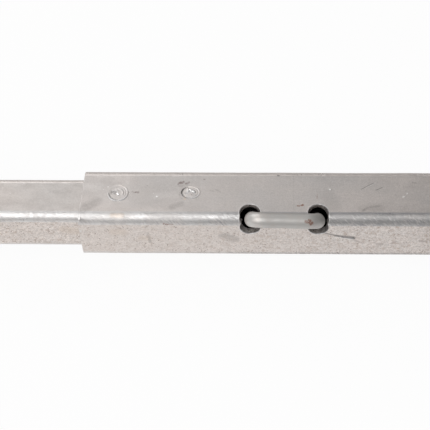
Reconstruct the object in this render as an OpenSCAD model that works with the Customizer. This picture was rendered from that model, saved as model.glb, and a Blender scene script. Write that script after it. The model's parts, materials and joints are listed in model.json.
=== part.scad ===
// Cane bolt: a stepped bar of square tube that slides in two plate-mounted guides.
// The bar lies along X. Its nose points to -X and drops into the ground when the bolt is shot;
// the handle end points to +X. The guides stand on Z = 0, the face of the gate, and the origin
// is the middle of the lower guide's screw holes on that face.

/* [Body tube] */
// Outside width of the body tube
body_w = 31.75; // [30:0.25:36]
// Wall of the body tube
body_wall = 3.05; // [2.5:0.05:3.5]
// Outside corner radius of the body tube
body_r = 5.2; // [4:0.1:6]
// Length of the body tube, from the shoulder to the handle end
body_len = 381; // [370:1:420]

/* [Nose tube] */
// Gap between the nose tube and the inside of the body tube, on each side
nose_gap = 0.125; // [0.1:0.025:0.25]
// Wall of the nose tube
nose_wall = 3.05; // [2:0.05:3.5]
// Outside corner radius of the nose tube
nose_r = 4.5; // [3.8:0.1:5.5]
// Length of the nose tube outside the body tube
nose_reach = 229; // [215:1:260]
// Length of the nose tube inside the body tube
nose_overlap = 76; // [65:1:78]

/* [Plug welds] */
// Diameter of the plug welds
plug_d = 9.5; // [7:0.1:11]
// Distance from the shoulder to the first plug weld
plug_first = 18.4; // [12:0.1:22]
// Distance between the two plug welds of one face
plug_pitch = 35.5; // [25:0.5:40]
// Depth of the dish round the middle of each plug weld
plug_dish = 0.35; // [0.1:0.05:0.6]

/* [Lock ring] */
// Diameter of the ring's rod
ring_rod_d = 7.5; // [7.3:0.05:8]
// Distance from the shoulder to the middle of the ring
ring_from_shoulder = 99.8; // [99:0.1:115]
// Gap between each leg of the ring and the near edge of its hole, with the ring in their middle
ring_play = 0.5; // [0.4:0.05:0.6]
// Distance that the loose ring lies off the middle of its holes, towards the handle
ring_shift = 0.3; // [0:0.05:0.3]
// Outside depth of the ring, across the bar
ring_depth = 38; // [35:0.5:40]
// Bend radius of the ring, on the rod's centre line
ring_bend_r = 4.75; // [4.3:0.05:4.8]
// Gap between the ring and the corner that it lies on
ring_seat = 0.45; // [0.4:0.05:0.6]
// Angle at which the loose ring lies across the corner
ring_skew = 1.1; // [0:0.1:1.2]
// Angle by which the loose ring hangs below the line through the corner
ring_tilt = 6; // [0:0.5:6]
// Length of the butt weld that closes the ring
ring_weld_len = 2.6; // [1.5:0.1:3]
// Distance from the ring's middle to its closing weld
ring_weld_at = 9; // [0:0.25:9]
// Height of the closing weld's crown over the rod
ring_weld_crown = 0.15; // [0.05:0.05:0.3]

/* [Ring holes] */
// Diameter of the drillings for the ring
ring_hole_d = 10; // [9.8:0.1:11]
// Distance between the two ring holes
ring_hole_pitch = 33.1; // [32.6:0.1:33.5]
// Distance from the corner's edge to the drilling in the top face
ring_hole_top = 4.4; // [3.5:0.1:5.5]
// Distance from the corner's edge to the drilling in the front face
ring_hole_front = 6.2; // [5:0.1:7]

/* [End caps] */
// Thickness of the cap on the handle end
top_cap_t = 4.76; // [4:0.1:8]
// Step from the body tube's outside to the edge of the handle end's cap
top_cap_step = 2.4; // [1.5:0.1:2.8]
// Diameter of the drain hole in the handle end's cap
drain_d = 5; // [4:0.5:5.5]
// Gap between the drain hole and the body tube's walls
drain_gap = 0.5; // [0.2:0.1:1]
// Thickness of the nose cap
nose_cap_t = 7; // [6:0.5:12]
// Size of the bevel round the nose cap's tip
nose_bevel = 3; // [1:0.5:3.5]
// Size of the groove that the nose cap's weld fills
nose_groove = 2; // [1:0.25:2.5]

/* [Handle] */
// Diameter of the cane handle's bar
handle_d = 12.7; // [11:0.1:13]
// Straight length of the handle between its weld and its bend
handle_stem = 30; // [22:1:60]
// Bend radius of the handle, on the bar's centre line
handle_bend_r = 19; // [14:1:30]
// Straight length of the grip
grip_len = 90; // [70:1:120]
// Bevel on the end of the grip
handle_bevel = 1.6; // [0.5:0.1:3]
// Leg of the fillet weld round the handle's foot
handle_weld_leg = 4.2; // [2:0.1:4.5]

/* [Guides] */
// Running gap between the bar and each guide, on each side
guide_gap = 0.3; // [0.2:0.05:0.6]
// Wall of the guide collars
collar_wall = 3.05; // [2.5:0.05:4]
// Inside corner radius of the guide collars
collar_in_r = 2.5; // [1.5:0.1:3.4]
// Length of each guide collar
collar_len = 38; // [30:1:44]
// Length of each guide plate, along the bar
plate_len = 50; // [46:1:60]
// Width of each guide plate, across the bar
plate_w = 95; // [88:1:110]
// Corner radius of the guide plates
plate_r = 6; // [2:0.5:10]
// Thickness of the upper guide's plate
upper_plate_t = 6.35; // [5:0.05:10]
// Diameter of the screw holes in the guide plates
screw_d = 8.7; // [6:0.1:10]
// Distance between the screw holes along the bar
screw_dx = 28; // [26:1:32]
// Distance between the screw holes across the bar
screw_dy = 70; // [68:1:72]
// Leg of the weld beads that hold each collar to its plate
bead_leg = 4.2; // [3:0.1:5]
// Distance that those beads stop short of each end of the collar
bead_stop = 3; // [1:0.5:8]

/* [Travel] */
// Drop of the bolt from raised to shot
drop = 140; // [120:1:150]
// Lift left between the ring and the upper guide when the bolt is raised
lift = 65; // [55:1:75]
// Gap left at each end of the travel
stop_gap = 0.5; // [0.3:0.1:1]
// Diameter of the cross holes for a padlock or a pin
pin_d = 10.4; // [8:0.1:12]

/* [Hidden] */
$fn = 64;

// Amount by which a cut runs past the faces that it opens
past = 1;

// Shades of the galvanised steel and of the welds
zinc = [0.74, 0.73, 0.72];
zinc_dark = [0.62, 0.61, 0.60];
weld_grey = [0.52, 0.51, 0.50];

// Widths that follow from what fits in what
body_in = body_w - 2 * body_wall;
nose_w = body_in - 2 * nose_gap;
lower_in = nose_w + 2 * guide_gap;
upper_in = body_w + 2 * guide_gap;
lower_out = lower_in + 2 * collar_wall;
upper_out = upper_in + 2 * collar_wall;
collar_r = collar_in_r + collar_wall;

// Height of the bar's axis over the gate, and the packing that the smaller collar needs for it
axis_z = upper_plate_t + upper_out / 2;
lower_plate_t = axis_z - lower_out / 2;

// Distance from the bar's axis to the outside of the body tube's rounded corner
corner_reach = (body_w / 2 - body_r) * sqrt(2) + body_r;

// Centre lines of the ring: half its width, its outer bar and its inner bar
ring_leg = ring_hole_pitch / 2 - ring_hole_d / 2 + ring_play + ring_rod_d / 2;
ring_outer = corner_reach + ring_seat + ring_rod_d / 2;
ring_inner = ring_outer - (ring_depth - ring_rod_d);
ring_straight = ring_leg - ring_bend_r;

// Places along the bar, from the lower guide's middle
shoulder_x = collar_len / 2 + stop_gap + drop;
ring_x = shoulder_x + ring_from_shoulder;
upper_x = ring_x + ring_shift + ring_leg + ring_rod_d / 2 + lift + stop_gap + collar_len / 2;
body_end_x = shoulder_x + body_len;
nose_end_x = shoulder_x - nose_reach;

// ---------- shared shapes ----------

// A square of width w with corners of radius r
module rounded_square(w, r, h = 0) {
    d = h == 0 ? w : h;
    square([w, d - 2 * r], center = true);
    square([w - 2 * r, d], center = true);
    for (sx = [-1, 1], sy = [-1, 1])
        translate([sx * (w / 2 - r), sy * (d / 2 - r)]) circle(r);
}

// Stands children drawn in XY, and extruded along Z, at x on the bar's axis and facing +X
module on_axis(x) {
    translate([x, 0, axis_z]) rotate([90, 0, 90]) children();
}

// A square tube on the bar's axis, from x, with its outside width, wall and corner radii
module square_tube(x, len, w, wall, r, in_r) {
    on_axis(x) linear_extrude(len) difference() {
        rounded_square(w, r);
        rounded_square(w - 2 * wall, in_r);
    }
}

// A square bar with rounded corners whose outline follows stations of [height, inset]
module profiled_bar(w, r, stations) {
    half = [for (s = stations) [w / 2 - s[1], s[0]]];
    outline = concat(half, [for (i = [len(half) - 1 : -1 : 0]) [-half[i][0], half[i][1]]]);
    span = w - 2 * r;
    translate([0, span / 2, 0]) rotate([90, 0, 0]) linear_extrude(span) polygon(outline);
    rotate([0, 0, 90]) translate([0, span / 2, 0]) rotate([90, 0, 0]) linear_extrude(span)
        polygon(outline);
    last = stations[len(stations) - 1];
    corner = concat([[0, stations[0][0]]], [for (s = stations) [r - s[1], s[0]]], [[0, last[0]]]);
    for (sx = [-1, 1], sy = [-1, 1])
        translate([sx * span / 2, sy * span / 2, 0]) rotate_extrude() polygon(corner);
}

// A bead swept round a square of width w and corner radius r; its section is drawn with the
// square's side at x = 0, outward to +x
module square_bead(w, r, section) {
    span = w - 2 * r;
    for (a = [0 : 90 : 270]) rotate([0, 0, a]) {
        translate([w / 2, span / 2, 0]) rotate([90, 0, 0]) linear_extrude(span) polygon(section);
        translate([span / 2, span / 2, 0]) rotate_extrude(angle = 90)
            polygon([for (p = section) [p[0] + r, p[1]]]);
    }
}

// ---------- bar ----------

// One ring hole: drilled square to the top and front faces, and opened through the corner
module ring_hole() {
    d_top = body_w / 2 - ring_hole_top;
    d_front = body_w / 2 - ring_hole_front;
    translate([0, -d_top, d_front]) cylinder(d = ring_hole_d, h = body_w);
    translate([0, -d_top, d_front]) rotate([90, 0, 0]) cylinder(d = ring_hole_d, h = body_w);
    rotate([45, 0, 0]) translate([0, 0, body_in / 2]) cylinder(d = ring_hole_d, h = body_w);
}

// Cross hole for a padlock or a pin, through everything of width w at x
module pin_hole(x, w) {
    translate([x, 0, axis_z]) rotate([90, 0, 0]) cylinder(d = pin_d, h = w + 2 * past, center = true);
}

// Places of the plug welds on the face that looks along side * Z
module plug_places(side) {
    for (i = [0, 1])
        translate([shoulder_x + plug_first + i * plug_pitch, 0, axis_z])
            rotate([side > 0 ? 0 : 180, 0, 0]) translate([0, 0, nose_w / 2]) children();
}

module body_tube() {
    color(zinc) difference() {
        square_tube(shoulder_x, body_len, body_w, body_wall, body_r, body_r - body_wall);
        for (side = [-1, 1]) plug_places(side) cylinder(d = plug_d, h = body_wall + past);
        for (s = [-1, 1]) translate([ring_x + s * ring_hole_pitch / 2, 0, axis_z]) ring_hole();
        for (x = [upper_x, upper_x + drop]) pin_hole(x, body_w);
    }
}

module nose_tube() {
    color(zinc) square_tube(nose_end_x, nose_reach + nose_overlap, nose_w, nose_wall, nose_r,
        nose_r - nose_wall);
}

// Plug weld: fills its hole down to the nose tube, with a dish round a low middle
module plug_weld() {
    r = plug_d / 2;
    h = body_wall + nose_gap;
    rotate_extrude() polygon([[0, 0], [r, 0], [r, h], [0.86 * r, h - 0.2 * plug_dish],
        [0.7 * r, h - plug_dish], [0.5 * r, h - 0.9 * plug_dish], [0.22 * r, h - 0.1 * plug_dish],
        [0, h]]);
}

module plug_welds(side) {
    color(weld_grey) plug_places(side) plug_weld();
}

module plug_welds_front() { plug_welds(1); }

module plug_welds_back() { plug_welds(-1); }

module nose_cap() {
    color(zinc) on_axis(nose_end_x) mirror([0, 0, 1]) profiled_bar(nose_w, nose_r,
        [[0, nose_groove], [nose_groove, 0], [nose_cap_t - nose_bevel, 0], [nose_cap_t, nose_bevel]]);
}

// Groove weld between the nose tube's end and the bevelled back of the nose cap
module nose_cap_weld() {
    color(weld_grey) on_axis(nose_end_x) mirror([0, 0, 1]) square_bead(nose_w, nose_r,
        [[-nose_groove, 0], [0, 0], [0, nose_groove]]);
}

// ---------- lock ring ----------

// Stands children in the ring's own frame: X along the bar, Z out along the ring's legs
module in_ring() {
    translate([ring_x + ring_shift, 0, axis_z]) rotate([45, 0, 0]) translate([0, 0, ring_outer])
        rotate([-ring_tilt, 0, 0]) translate([0, 0, -ring_outer]) rotate([0, 0, -ring_skew]) children();
}

// A quarter of the ring: one bend, with half of the leg and half of the bar that run into it
module ring_quarter(leg_len) {
    translate([ring_leg, 0, 0]) cylinder(d = ring_rod_d, h = leg_len);
    translate([ring_straight, 0, leg_len]) rotate([90, 0, 0])
        rotate_extrude(angle = 90) translate([ring_bend_r, 0]) circle(d = ring_rod_d);
    translate([ring_straight, 0, leg_len + ring_bend_r]) rotate([0, -90, 0])
        cylinder(d = ring_rod_d, h = ring_straight);
}

module lock_ring() {
    leg_len = (ring_outer - ring_inner) / 2 - ring_bend_r;
    color(zinc) in_ring() difference() {
        translate([0, 0, (ring_outer + ring_inner) / 2])
            for (sx = [0, 1], sz = [0, 1]) mirror([sx, 0, 0]) mirror([0, 0, sz]) ring_quarter(leg_len);
        translate([ring_weld_at - ring_weld_len / 2, -ring_rod_d, ring_outer - ring_rod_d])
            cube([ring_weld_len, 2 * ring_rod_d, 2 * ring_rod_d]);
    }
}

// Butt weld that closed the ring after it was threaded through the bar
module ring_weld() {
    r = ring_rod_d / 2;
    w = ring_weld_len;
    color(weld_grey) in_ring() translate([ring_weld_at - w / 2, 0, ring_outer]) rotate([0, 90, 0])
        rotate_extrude() polygon([[0, 0], [r, 0], [r + ring_weld_crown, 0.3 * w],
            [r + ring_weld_crown, 0.7 * w], [r, w], [0, w]]);
}

// ---------- handle end ----------

module top_cap() {
    w = body_w - 2 * top_cap_step;
    drain = body_in / 2 - drain_d / 2 - drain_gap;
    color(zinc) difference() {
        on_axis(body_end_x) linear_extrude(top_cap_t)
            rounded_square(w, body_r - top_cap_step);
        on_axis(body_end_x) translate([drain, -drain, -past]) cylinder(d = drain_d, h = top_cap_t + 2 * past);
    }
}

// Fillet weld in the step between the cap's edge and the end of the body tube
module top_cap_weld() {
    leg = top_cap_step;
    color(weld_grey) on_axis(body_end_x) square_bead(body_w - 2 * leg, body_r - leg,
        [[0, 0], [leg, 0], [0.6 * leg, 0.75 * leg], [0, leg]]);
}

module cane_handle() {
    foot = body_end_x + top_cap_t;
    bend_x = foot + handle_stem;
    bend_z = axis_z + handle_bend_r;
    color(zinc) union() {
        translate([foot, 0, axis_z]) rotate([0, 90, 0]) cylinder(d = handle_d, h = handle_stem);
        translate([bend_x, 0, bend_z]) rotate([90, 0, 0]) rotate([0, 0, -90])
            rotate_extrude(angle = 90) translate([handle_bend_r, 0]) circle(d = handle_d);
        translate([bend_x + handle_bend_r, 0, bend_z]) rotate_extrude()
            polygon([[0, 0], [handle_d / 2, 0], [handle_d / 2, grip_len - handle_bevel],
                [handle_d / 2 - handle_bevel, grip_len], [0, grip_len]]);
    }
}

module handle_weld() {
    r = handle_d / 2;
    leg = handle_weld_leg;
    color(weld_grey) on_axis(body_end_x + top_cap_t) rotate_extrude()
        polygon([[r, 0], [r + leg, 0], [r + 0.6 * leg, 0.6 * leg], [r, leg]]);
}

// ---------- guides ----------

module guide_plate(x, t) {
    color(zinc_dark) translate([x, 0, 0]) difference() {
        linear_extrude(t) rounded_square(plate_len, plate_r, plate_w);
        for (sx = [-1, 1], sy = [-1, 1])
            translate([sx * screw_dx / 2, sy * screw_dy / 2, -past]) cylinder(d = screw_d, h = t + 2 * past);
    }
}

module guide_collar(x, out) {
    color(zinc) square_tube(x - collar_len / 2, collar_len, out, collar_wall, collar_r, collar_in_r);
}

// Two beads in the grooves between the collar's rounded corners and its plate
module guide_welds(x, out, t) {
    len = collar_len - 2 * bead_stop;
    root = out / 2 - collar_r;
    color(weld_grey) for (s = [-1, 1])
        translate([x, 0, t]) mirror([0, s > 0 ? 0 : 1, 0]) rotate([90, 0, 90])
            translate([0, 0, -len / 2]) linear_extrude(len) difference() {
                polygon([[root, 0], [out / 2 + bead_leg, 0], [out / 2 + 0.75 * bead_leg, 0.55 * bead_leg],
                    [out / 2 + 0.1 * bead_leg, bead_leg], [root, collar_r]]);
                translate([root, collar_r]) circle(collar_r);
            }
}

module lower_guide_plate() { guide_plate(0, lower_plate_t); }

module lower_guide_collar() { guide_collar(0, lower_out); }

module lower_guide_welds() { guide_welds(0, lower_out, lower_plate_t); }

module upper_guide_plate() { guide_plate(upper_x, upper_plate_t); }

module upper_guide_collar() {
    difference() {
        guide_collar(upper_x, upper_out);
        pin_hole(upper_x, upper_out);
    }
}

module upper_guide_welds() { guide_welds(upper_x, upper_out, upper_plate_t); }

body_tube();
nose_tube();
plug_welds_front();
plug_welds_back();
lock_ring();
ring_weld();
nose_cap();
nose_cap_weld();
top_cap();
top_cap_weld();
cane_handle();
handle_weld();
lower_guide_plate();
lower_guide_collar();
lower_guide_welds();
upper_guide_plate();
upper_guide_collar();
upper_guide_welds();
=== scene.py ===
"""A square cane bolt of hot-dip galvanised steel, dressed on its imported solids."""

import json
import math

import bmesh
import bpy
import numpy as np
from mathutils import Matrix, Vector


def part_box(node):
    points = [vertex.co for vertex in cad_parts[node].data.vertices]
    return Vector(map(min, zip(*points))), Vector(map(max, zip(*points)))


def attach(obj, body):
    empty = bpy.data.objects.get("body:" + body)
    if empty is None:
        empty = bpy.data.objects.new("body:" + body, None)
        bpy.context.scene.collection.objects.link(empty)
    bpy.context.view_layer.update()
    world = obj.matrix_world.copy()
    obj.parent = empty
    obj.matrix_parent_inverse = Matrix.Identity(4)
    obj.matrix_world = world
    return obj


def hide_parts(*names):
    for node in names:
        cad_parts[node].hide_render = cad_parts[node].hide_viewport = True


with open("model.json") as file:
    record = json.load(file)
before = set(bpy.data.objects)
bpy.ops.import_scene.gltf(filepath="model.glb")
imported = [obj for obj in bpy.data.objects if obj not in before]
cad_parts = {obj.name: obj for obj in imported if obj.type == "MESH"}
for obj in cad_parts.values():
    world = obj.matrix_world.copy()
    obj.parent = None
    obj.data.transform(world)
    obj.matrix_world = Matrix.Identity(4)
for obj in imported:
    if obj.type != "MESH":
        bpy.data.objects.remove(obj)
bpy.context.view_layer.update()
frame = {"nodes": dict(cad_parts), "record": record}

bl_info = {
    "name": "Square cane bolt",
    "version": (1, 0, 0),
    "blender": (4, 5, 0),
    "location": "3D View > Sidebar > Cane Bolt",
    "description": "Builds a galvanised square cane bolt, its guides and its stage",
    "category": "Add Mesh",
}

MM = 0.001

# The slow waves in the tubes' faces: their length, and the seed of the body tube's
WAVE_LENGTH = 22 * MM
BODY_SEED = 11
# Steps of the tubes' meshes: along the bar, beside a hole, across a flat, and turns round a corner
ALONG_STEP = 3.2 * MM
HOLE_STEP = 0.9 * MM
FLAT_STEP = 1.1 * MM
CORNER_STEPS = 10
# How far the patch of mesh round a hole reaches beyond the hole
HOLE_MARGIN = 2.6 * MM
# Slow waves of the ring's rod and of the handle's bar: height, length and seed
RING_WAVES = (0.025 * MM, 9 * MM, 31)
HANDLE_WAVES = (0.03 * MM, 14 * MM, 53)
# How far the round bars' skins lie inside the solids' outlines, so that their waves don't pass them
BAR_SLACK = 0.03 * MM
# Gap that keeps two faces at one place apart
HAIR = 0.01 * MM

# ---------------------------------------------------------------- places from the frame

BODY_LOW, BODY_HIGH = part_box("body_tube")
NOSE_LOW, NOSE_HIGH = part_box("nose_tube")
RING_LOW, RING_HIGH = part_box("lock_ring")
UPPER_LOW, UPPER_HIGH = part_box("upper_guide_collar")
LOWER_LOW, LOWER_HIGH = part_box("lower_guide_collar")
CAP_WELD_LOW, CAP_WELD_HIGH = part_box("top_cap_weld")
HANDLE_LOW, HANDLE_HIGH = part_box("cane_handle")
HANDLE_WELD_LOW, HANDLE_WELD_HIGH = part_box("handle_weld")
PLUG_LOW, PLUG_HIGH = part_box("plug_welds_front")

SHOULDER_X = BODY_LOW.x
AXIS_Z = (BODY_LOW.z + BODY_HIGH.z) / 2
BODY_W = BODY_HIGH.y - BODY_LOW.y
NOSE_W = NOSE_HIGH.y - NOSE_LOW.y
RING_X = (RING_LOW.x + RING_HIGH.x) / 2
MOUNTS = {mount["name"]: mount for mount in frame["record"]["mounts"]}
RAISED_PIN_X = MOUNTS["raised_pin_hole"]["pos_m"][0]
SHOT_PIN_X = MOUNTS["shot_pin_hole"]["pos_m"][0]
PIN_RADIUS = MOUNTS["raised_pin_hole"]["dims"]["r_mm"] * MM


# ---------------------------------------------------------------- sizes and colours


def size(name, description, default_mm, low_mm=0.0):
    """A length that a user may change, given here in millimetres."""
    return bpy.props.FloatProperty(
        name=name, description=description, default=default_mm * MM, min=low_mm * MM,
        unit="LENGTH", precision=5,
    )


def angle(name, description, degrees):
    """An angle that a user may change, given here in degrees."""
    return bpy.props.FloatProperty(
        name=name, description=description, default=math.radians(degrees), subtype="ANGLE"
    )


def colour(name, description, default):
    """A colour that a user may change."""
    return bpy.props.FloatVectorProperty(
        name=name, description=description, default=default, size=3, min=0.0, max=1.0,
        subtype="COLOR",
    )


def share(name, description, default):
    """A number from 0 to 1 that a user may change."""
    return bpy.props.FloatProperty(
        name=name, description=description, default=default, min=0.0, max=1.0, subtype="FACTOR"
    )


class BoltSizes(bpy.types.PropertyGroup):
    """Sizes of the bolt that its outer boxes don't give."""

    wall: size("Tube wall", "Wall of every tube in the bolt", 3.05)
    body_corner: size("Body corner", "Outside corner radius of the body tube", 5.2)
    nose_corner: size("Nose corner", "Outside corner radius of the nose tube", 4.3)
    collar_corner: size("Collar corner", "Outside corner radius of the guide collars", 5.55)
    cut_edge: size("Cut edge", "Rounding that the zinc leaves on a cut edge", 0.35)
    waviness: size("Waviness", "Height of the slow waves in the tubes' faces", 0.03)
    plug_diameter: size("Plug weld", "Diameter of a plug weld", 9.5)
    plug_cap: size("Plug weld face", "Diameter that a plug weld's face spreads to", 10.6)
    hole_diameter: size("Ring hole", "Diameter of the drillings for the lock ring", 10.0)
    hole_pitch: size("Ring hole pitch", "Distance between the two ring holes", 33.1)
    hole_top: size("Top drilling", "From the corner's edge to the drilling in the top face", 4.4)
    hole_front: size("Front drilling", "From the corner's edge to the front face's drilling", 6.2)
    zinc_lip: size("Zinc lip", "Height of the zinc that stands proud round a hole", 0.04)
    rod_diameter: size("Ring rod", "Diameter of the lock ring's rod", 7.5)
    ring_depth: size("Ring depth", "Outside depth of the lock ring", 38.0)
    ring_bend: size("Ring bend", "Bend radius of the lock ring on its centre line", 4.75)
    ring_seat: size("Ring seat", "Gap between the ring and the corner that it lies on", 0.45)
    ring_play: size("Ring play", "Gap between a leg of the ring and its hole's near edge", 0.5)
    ring_shift: size("Ring shift", "Distance that the ring lies off the middle of its holes", 0.3)
    ring_weld_length: size("Ring weld", "Length of the weld that closes the ring", 2.6)
    ring_weld_place: size("Ring weld place", "From the ring's middle to its closing weld", 9.0)
    handle_bend: size("Handle bend", "Bend radius of the cane handle on its centre line", 19.0)
    handle_bevel: size("Handle bevel", "Bevel on the end of the grip", 1.6)
    ring_skew: angle("Ring skew", "Angle at which the loose ring lies across the corner", 1.1)
    ring_tilt: angle("Ring tilt", "Angle by which the loose ring hangs below the corner's line", 6)


class FinishColours(bpy.types.PropertyGroup):
    """Colours of the zinc, the welds and their stains."""

    face: colour("Zinc face", "Matt zinc on the faces", (0.565, 0.535, 0.515))
    warm: colour("Warm zinc", "Zinc that has dulled to a warm tone", (0.645, 0.590, 0.555))
    # Raised to carry the corners' painted highlight as well as rubbed zinc
    corner: colour("Corner", "Zinc rubbed bright on the corners", (0.655, 0.645, 0.64))
    rod: colour("Rod", "Zinc on the round bars", (0.56, 0.545, 0.525))
    plate: colour("Plate", "Zinc on the guides", (0.52, 0.50, 0.48))
    weld: colour("Weld", "Zinc on the welds", (0.47, 0.455, 0.44))
    # This colour also paints shade in the plug welds' hollows
    pit: colour("Pits", "Dark pits and stains", (0.17, 0.155, 0.145))
    rust: colour("Rust", "Red rust that shows through", (0.255, 0.125, 0.085))
    stain: colour("Brown stain", "Old brown stains", (0.20, 0.145, 0.135))
    # This colour also paints highlights on the plug welds, and along rims and cut edges
    fleck: colour("Flecks", "Bright flecks of fresh zinc", (0.86, 0.85, 0.84))
    floor: colour("Floor", "The pale floor", (0.86, 0.86, 0.86))
    roughness: share("Roughness", "Roughness of the matt zinc", 0.48)
    metal: share("Metal", "How metallic the zinc is", 0.82)


class CameraView(bpy.types.PropertyGroup):
    """Where the camera stands, seen from a point on the bar."""

    along: size("Along", "Place of the point that it looks at, from the shoulder", 65.5)
    raise_by: size("Raise", "How far the view is shifted up", -0.97, -100.0)
    distance: size("Distance", "Distance to the bar's axis", 745.8)
    elevation: angle("Elevation", "Height of the camera's direction", 53.25)
    yaw: angle("Yaw", "Turn towards the handle end", 2.46)
    roll: angle("Roll", "Turn about the camera's own axis", 0.28)
    lens: bpy.props.FloatProperty(
        name="Lens", description="Focal length on a 36 mm sensor", default=125.6, unit="CAMERA"
    )


# ---------------------------------------------------------------- mesh helpers


def shade(mesh, finish, colours, sharp):
    """Gives a mesh its finish, and smooth shading where it turns by less than sharp degrees."""
    mesh.materials.clear()
    mesh.materials.append(bpy.data.materials.get(finish) or FINISHES[finish][0](finish, colours))
    mesh.polygons.foreach_set("use_smooth", [True] * len(mesh.polygons))
    mesh.set_sharp_from_angle(angle=math.radians(sharp))


def dress_node(node, finish, colours, bevel, sharp):
    """Gives a CAD node its finish and softly rounded edges."""
    piece = frame["nodes"][node]
    shade(piece.data, finish, colours, sharp)
    rounding = piece.modifiers.new("Rounded edges", "BEVEL")
    rounding.width = bevel
    rounding.segments = 3
    rounding.limit_method = "ANGLE"
    rounding.angle_limit = math.radians(35)
    rounding.harden_normals = False
    piece.modifiers.new("Even shading", "WEIGHTED_NORMAL").keep_sharp = True


def waves(points, height, length, seed):
    """Slow, smooth waves over space: one height for each point."""
    rng = np.random.default_rng(seed)
    total = np.zeros(len(points))
    count = 9
    for _ in range(count):
        direction = rng.normal(size=3)
        direction /= np.linalg.norm(direction)
        pitch = length * rng.uniform(0.6, 1.8)
        total += np.sin(points @ direction * (2 * math.pi / pitch) + rng.uniform(0, 2 * math.pi))
    return total * height / math.sqrt(count)


# Angles at which a rounded edge gets a row of points
ROUNDS = [math.radians(a) for a in (22.5, 45.0, 67.5, 90.0)]


class SquareTube:
    """A square tube's skin, unrolled: u runs along the bar, s round it from the top's middle."""

    def __init__(self, width, corner, wall, centre):
        self.half = width / 2 - corner
        self.corner = corner
        self.wall = wall
        self.centre = centre
        self.arc = math.pi * corner / 2
        self.quarter = 2 * self.half + self.arc
        self.perimeter = 4 * self.quarter

    def stations(self, flat_step, corner_steps):
        """Values of s round the tube, starting in the middle of its back top corner."""
        flats = max(2, round(2 * self.half / flat_step))
        values = []
        for side in range(4):
            start = side * self.quarter - self.half
            bend = start + 2 * self.half
            values += [start + 2 * self.half * k / flats for k in range(flats)]
            values += [bend + self.arc * k / corner_steps for k in range(corner_steps)]
        first = -self.half - self.arc / 2
        values = np.array(values)
        return np.sort(first + np.mod(values - first + 1e-9, self.perimeter) - 1e-9)

    def place(self, u, s, depth):
        """Points in the frame at u along the bar, s round it and depth below its outside."""
        u, s, depth = np.broadcast_arrays(*(np.asarray(value, float) for value in (u, s, depth)))
        turned = s + self.half
        side = np.floor(turned / self.quarter)
        t = turned - side * self.quarter
        bend = np.clip((t - 2 * self.half) / self.corner, 0, None)
        a = np.where(bend > 0, -self.half, self.half - t) - (self.corner - depth) * np.sin(bend)
        b = self.half + (self.corner - depth) * np.cos(bend)
        side = np.mod(side, 4)
        y = np.select([side == 0, side == 1, side == 2, side == 3], [a, -b, -a, b])
        z = np.select([side == 0, side == 1, side == 2, side == 3], [b, a, -b, -a])
        return np.stack([u, y, z + self.centre], axis=-1)


class Drilling:
    """A round cut: everything within radius of a line, on from its start."""

    def __init__(self, start, direction, radius):
        self.start = np.array(start)
        self.direction = np.array(direction) / np.linalg.norm(direction)
        self.radius = radius

    def holds(self, points):
        from_start = points - self.start
        ahead = from_start @ self.direction
        beside = from_start - ahead[..., None] * self.direction
        return (np.linalg.norm(beside, axis=-1) < self.radius) & (ahead > 0)


class TubeHole:
    """A hole through one wall of a tube, where the drillings take the metal away."""

    def __init__(self, u, s, reach_u, reach_s, drillings, edge, lip=0.0, wear=1.0, tapers=()):
        self.u, self.s = u, s
        self.reach_u, self.reach_s = reach_u, reach_s
        self.drillings = drillings
        self.edge = edge
        self.lip = lip
        self.wear = wear
        self.tapers = tapers

    def holds(self, points):
        return np.any([drilling.holds(points) for drilling in self.drillings], axis=0)

    def rim(self, tube, du, ds, reach, depth):
        """How far the hole reaches from its centre in each direction, at a depth in the wall."""
        count = 160
        steps = np.linspace(0, 1, count)
        t = reach[:, None] * steps[None, :]
        inside = self.holds(tube.place(self.u + du[:, None] * t, self.s + ds[:, None] * t, depth))
        last = np.where(inside, np.arange(count)[None, :], 0).max(axis=1)
        low = reach * steps[last]
        high = reach * steps[np.minimum(last + 1, count - 1)]
        # Halve the gap that the rim lies in until it is found
        for _ in range(14):
            middle = (low + high) / 2
            held = self.holds(tube.place(self.u + du * middle, self.s + ds * middle, depth))
            low = np.where(held, middle, low)
            high = np.where(held, high, middle)
        radius = (low + high) / 2
        blend_in = 0.2 * MM
        for side, low, high, at_face, at_foot in self.tapers:
            s = self.s + ds * radius
            here = np.clip((s - low) / blend_in, 0, 1) * np.clip((high - s) / blend_in, 0, 1)
            cut = at_face + (at_foot - at_face) * min(depth / tube.wall, 1)
            radius = radius - cut * here * np.clip(side * du * 1.5, 0, 1)
        return radius

    def rings(self, tube, du, ds, reach):
        """Rings of points from the patch's edge over the rim and down the wall.

        Each is (distances from the centre, depths, edge value, bore value). The edge value
        brightens the rim with worn zinc and a painted highlight; the bore value marks the wall, and
        the inside of the tube, which the finish paints near black as painted shade.
        """
        wall = tube.wall
        found = []
        rim_top = self.rim(tube, du, ds, reach, 0.0) + self.edge
        for out in (0.78, 0.58, 0.41, 0.27, 0.16, 0.08, 0.03, 0.0):
            t = rim_top + (reach - rim_top) * out
            near = np.exp(-(((t - rim_top) / (0.3 * MM)) ** 2))
            found.append((t, -self.lip * near, near * self.wear, 0.0))
        for a in ROUNDS:
            depth = self.edge * (1 - math.cos(a))
            t = self.rim(tube, du, ds, reach, depth) + self.edge * (1 - math.sin(a))
            worn = (1.0 - 0.5 * math.sin(a)) * self.wear
            depths = np.full_like(t, depth) - self.lip * math.cos(a)
            found.append((t, depths, worn, 0.3 * math.sin(a)))
        for part in (0.3, 0.55, 0.8, 1.0):
            depth = self.edge + (wall - self.edge) * part
            t = self.rim(tube, du, ds, reach, depth)
            found.append((t, np.full_like(reach, depth), 0.0, 1.0))
        found.append((t + (reach - t) * 0.15, np.full_like(reach, wall), 0.0, 2.0))
        return found


def band(first, second):
    """Faces between two closed rows of points, which are given by their numbers."""
    count = len(first)
    steps = [(k, k + 1 - count) for k in range(count)]
    return [(first[k], first[n], second[n], second[k]) for k, n in steps]


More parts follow.
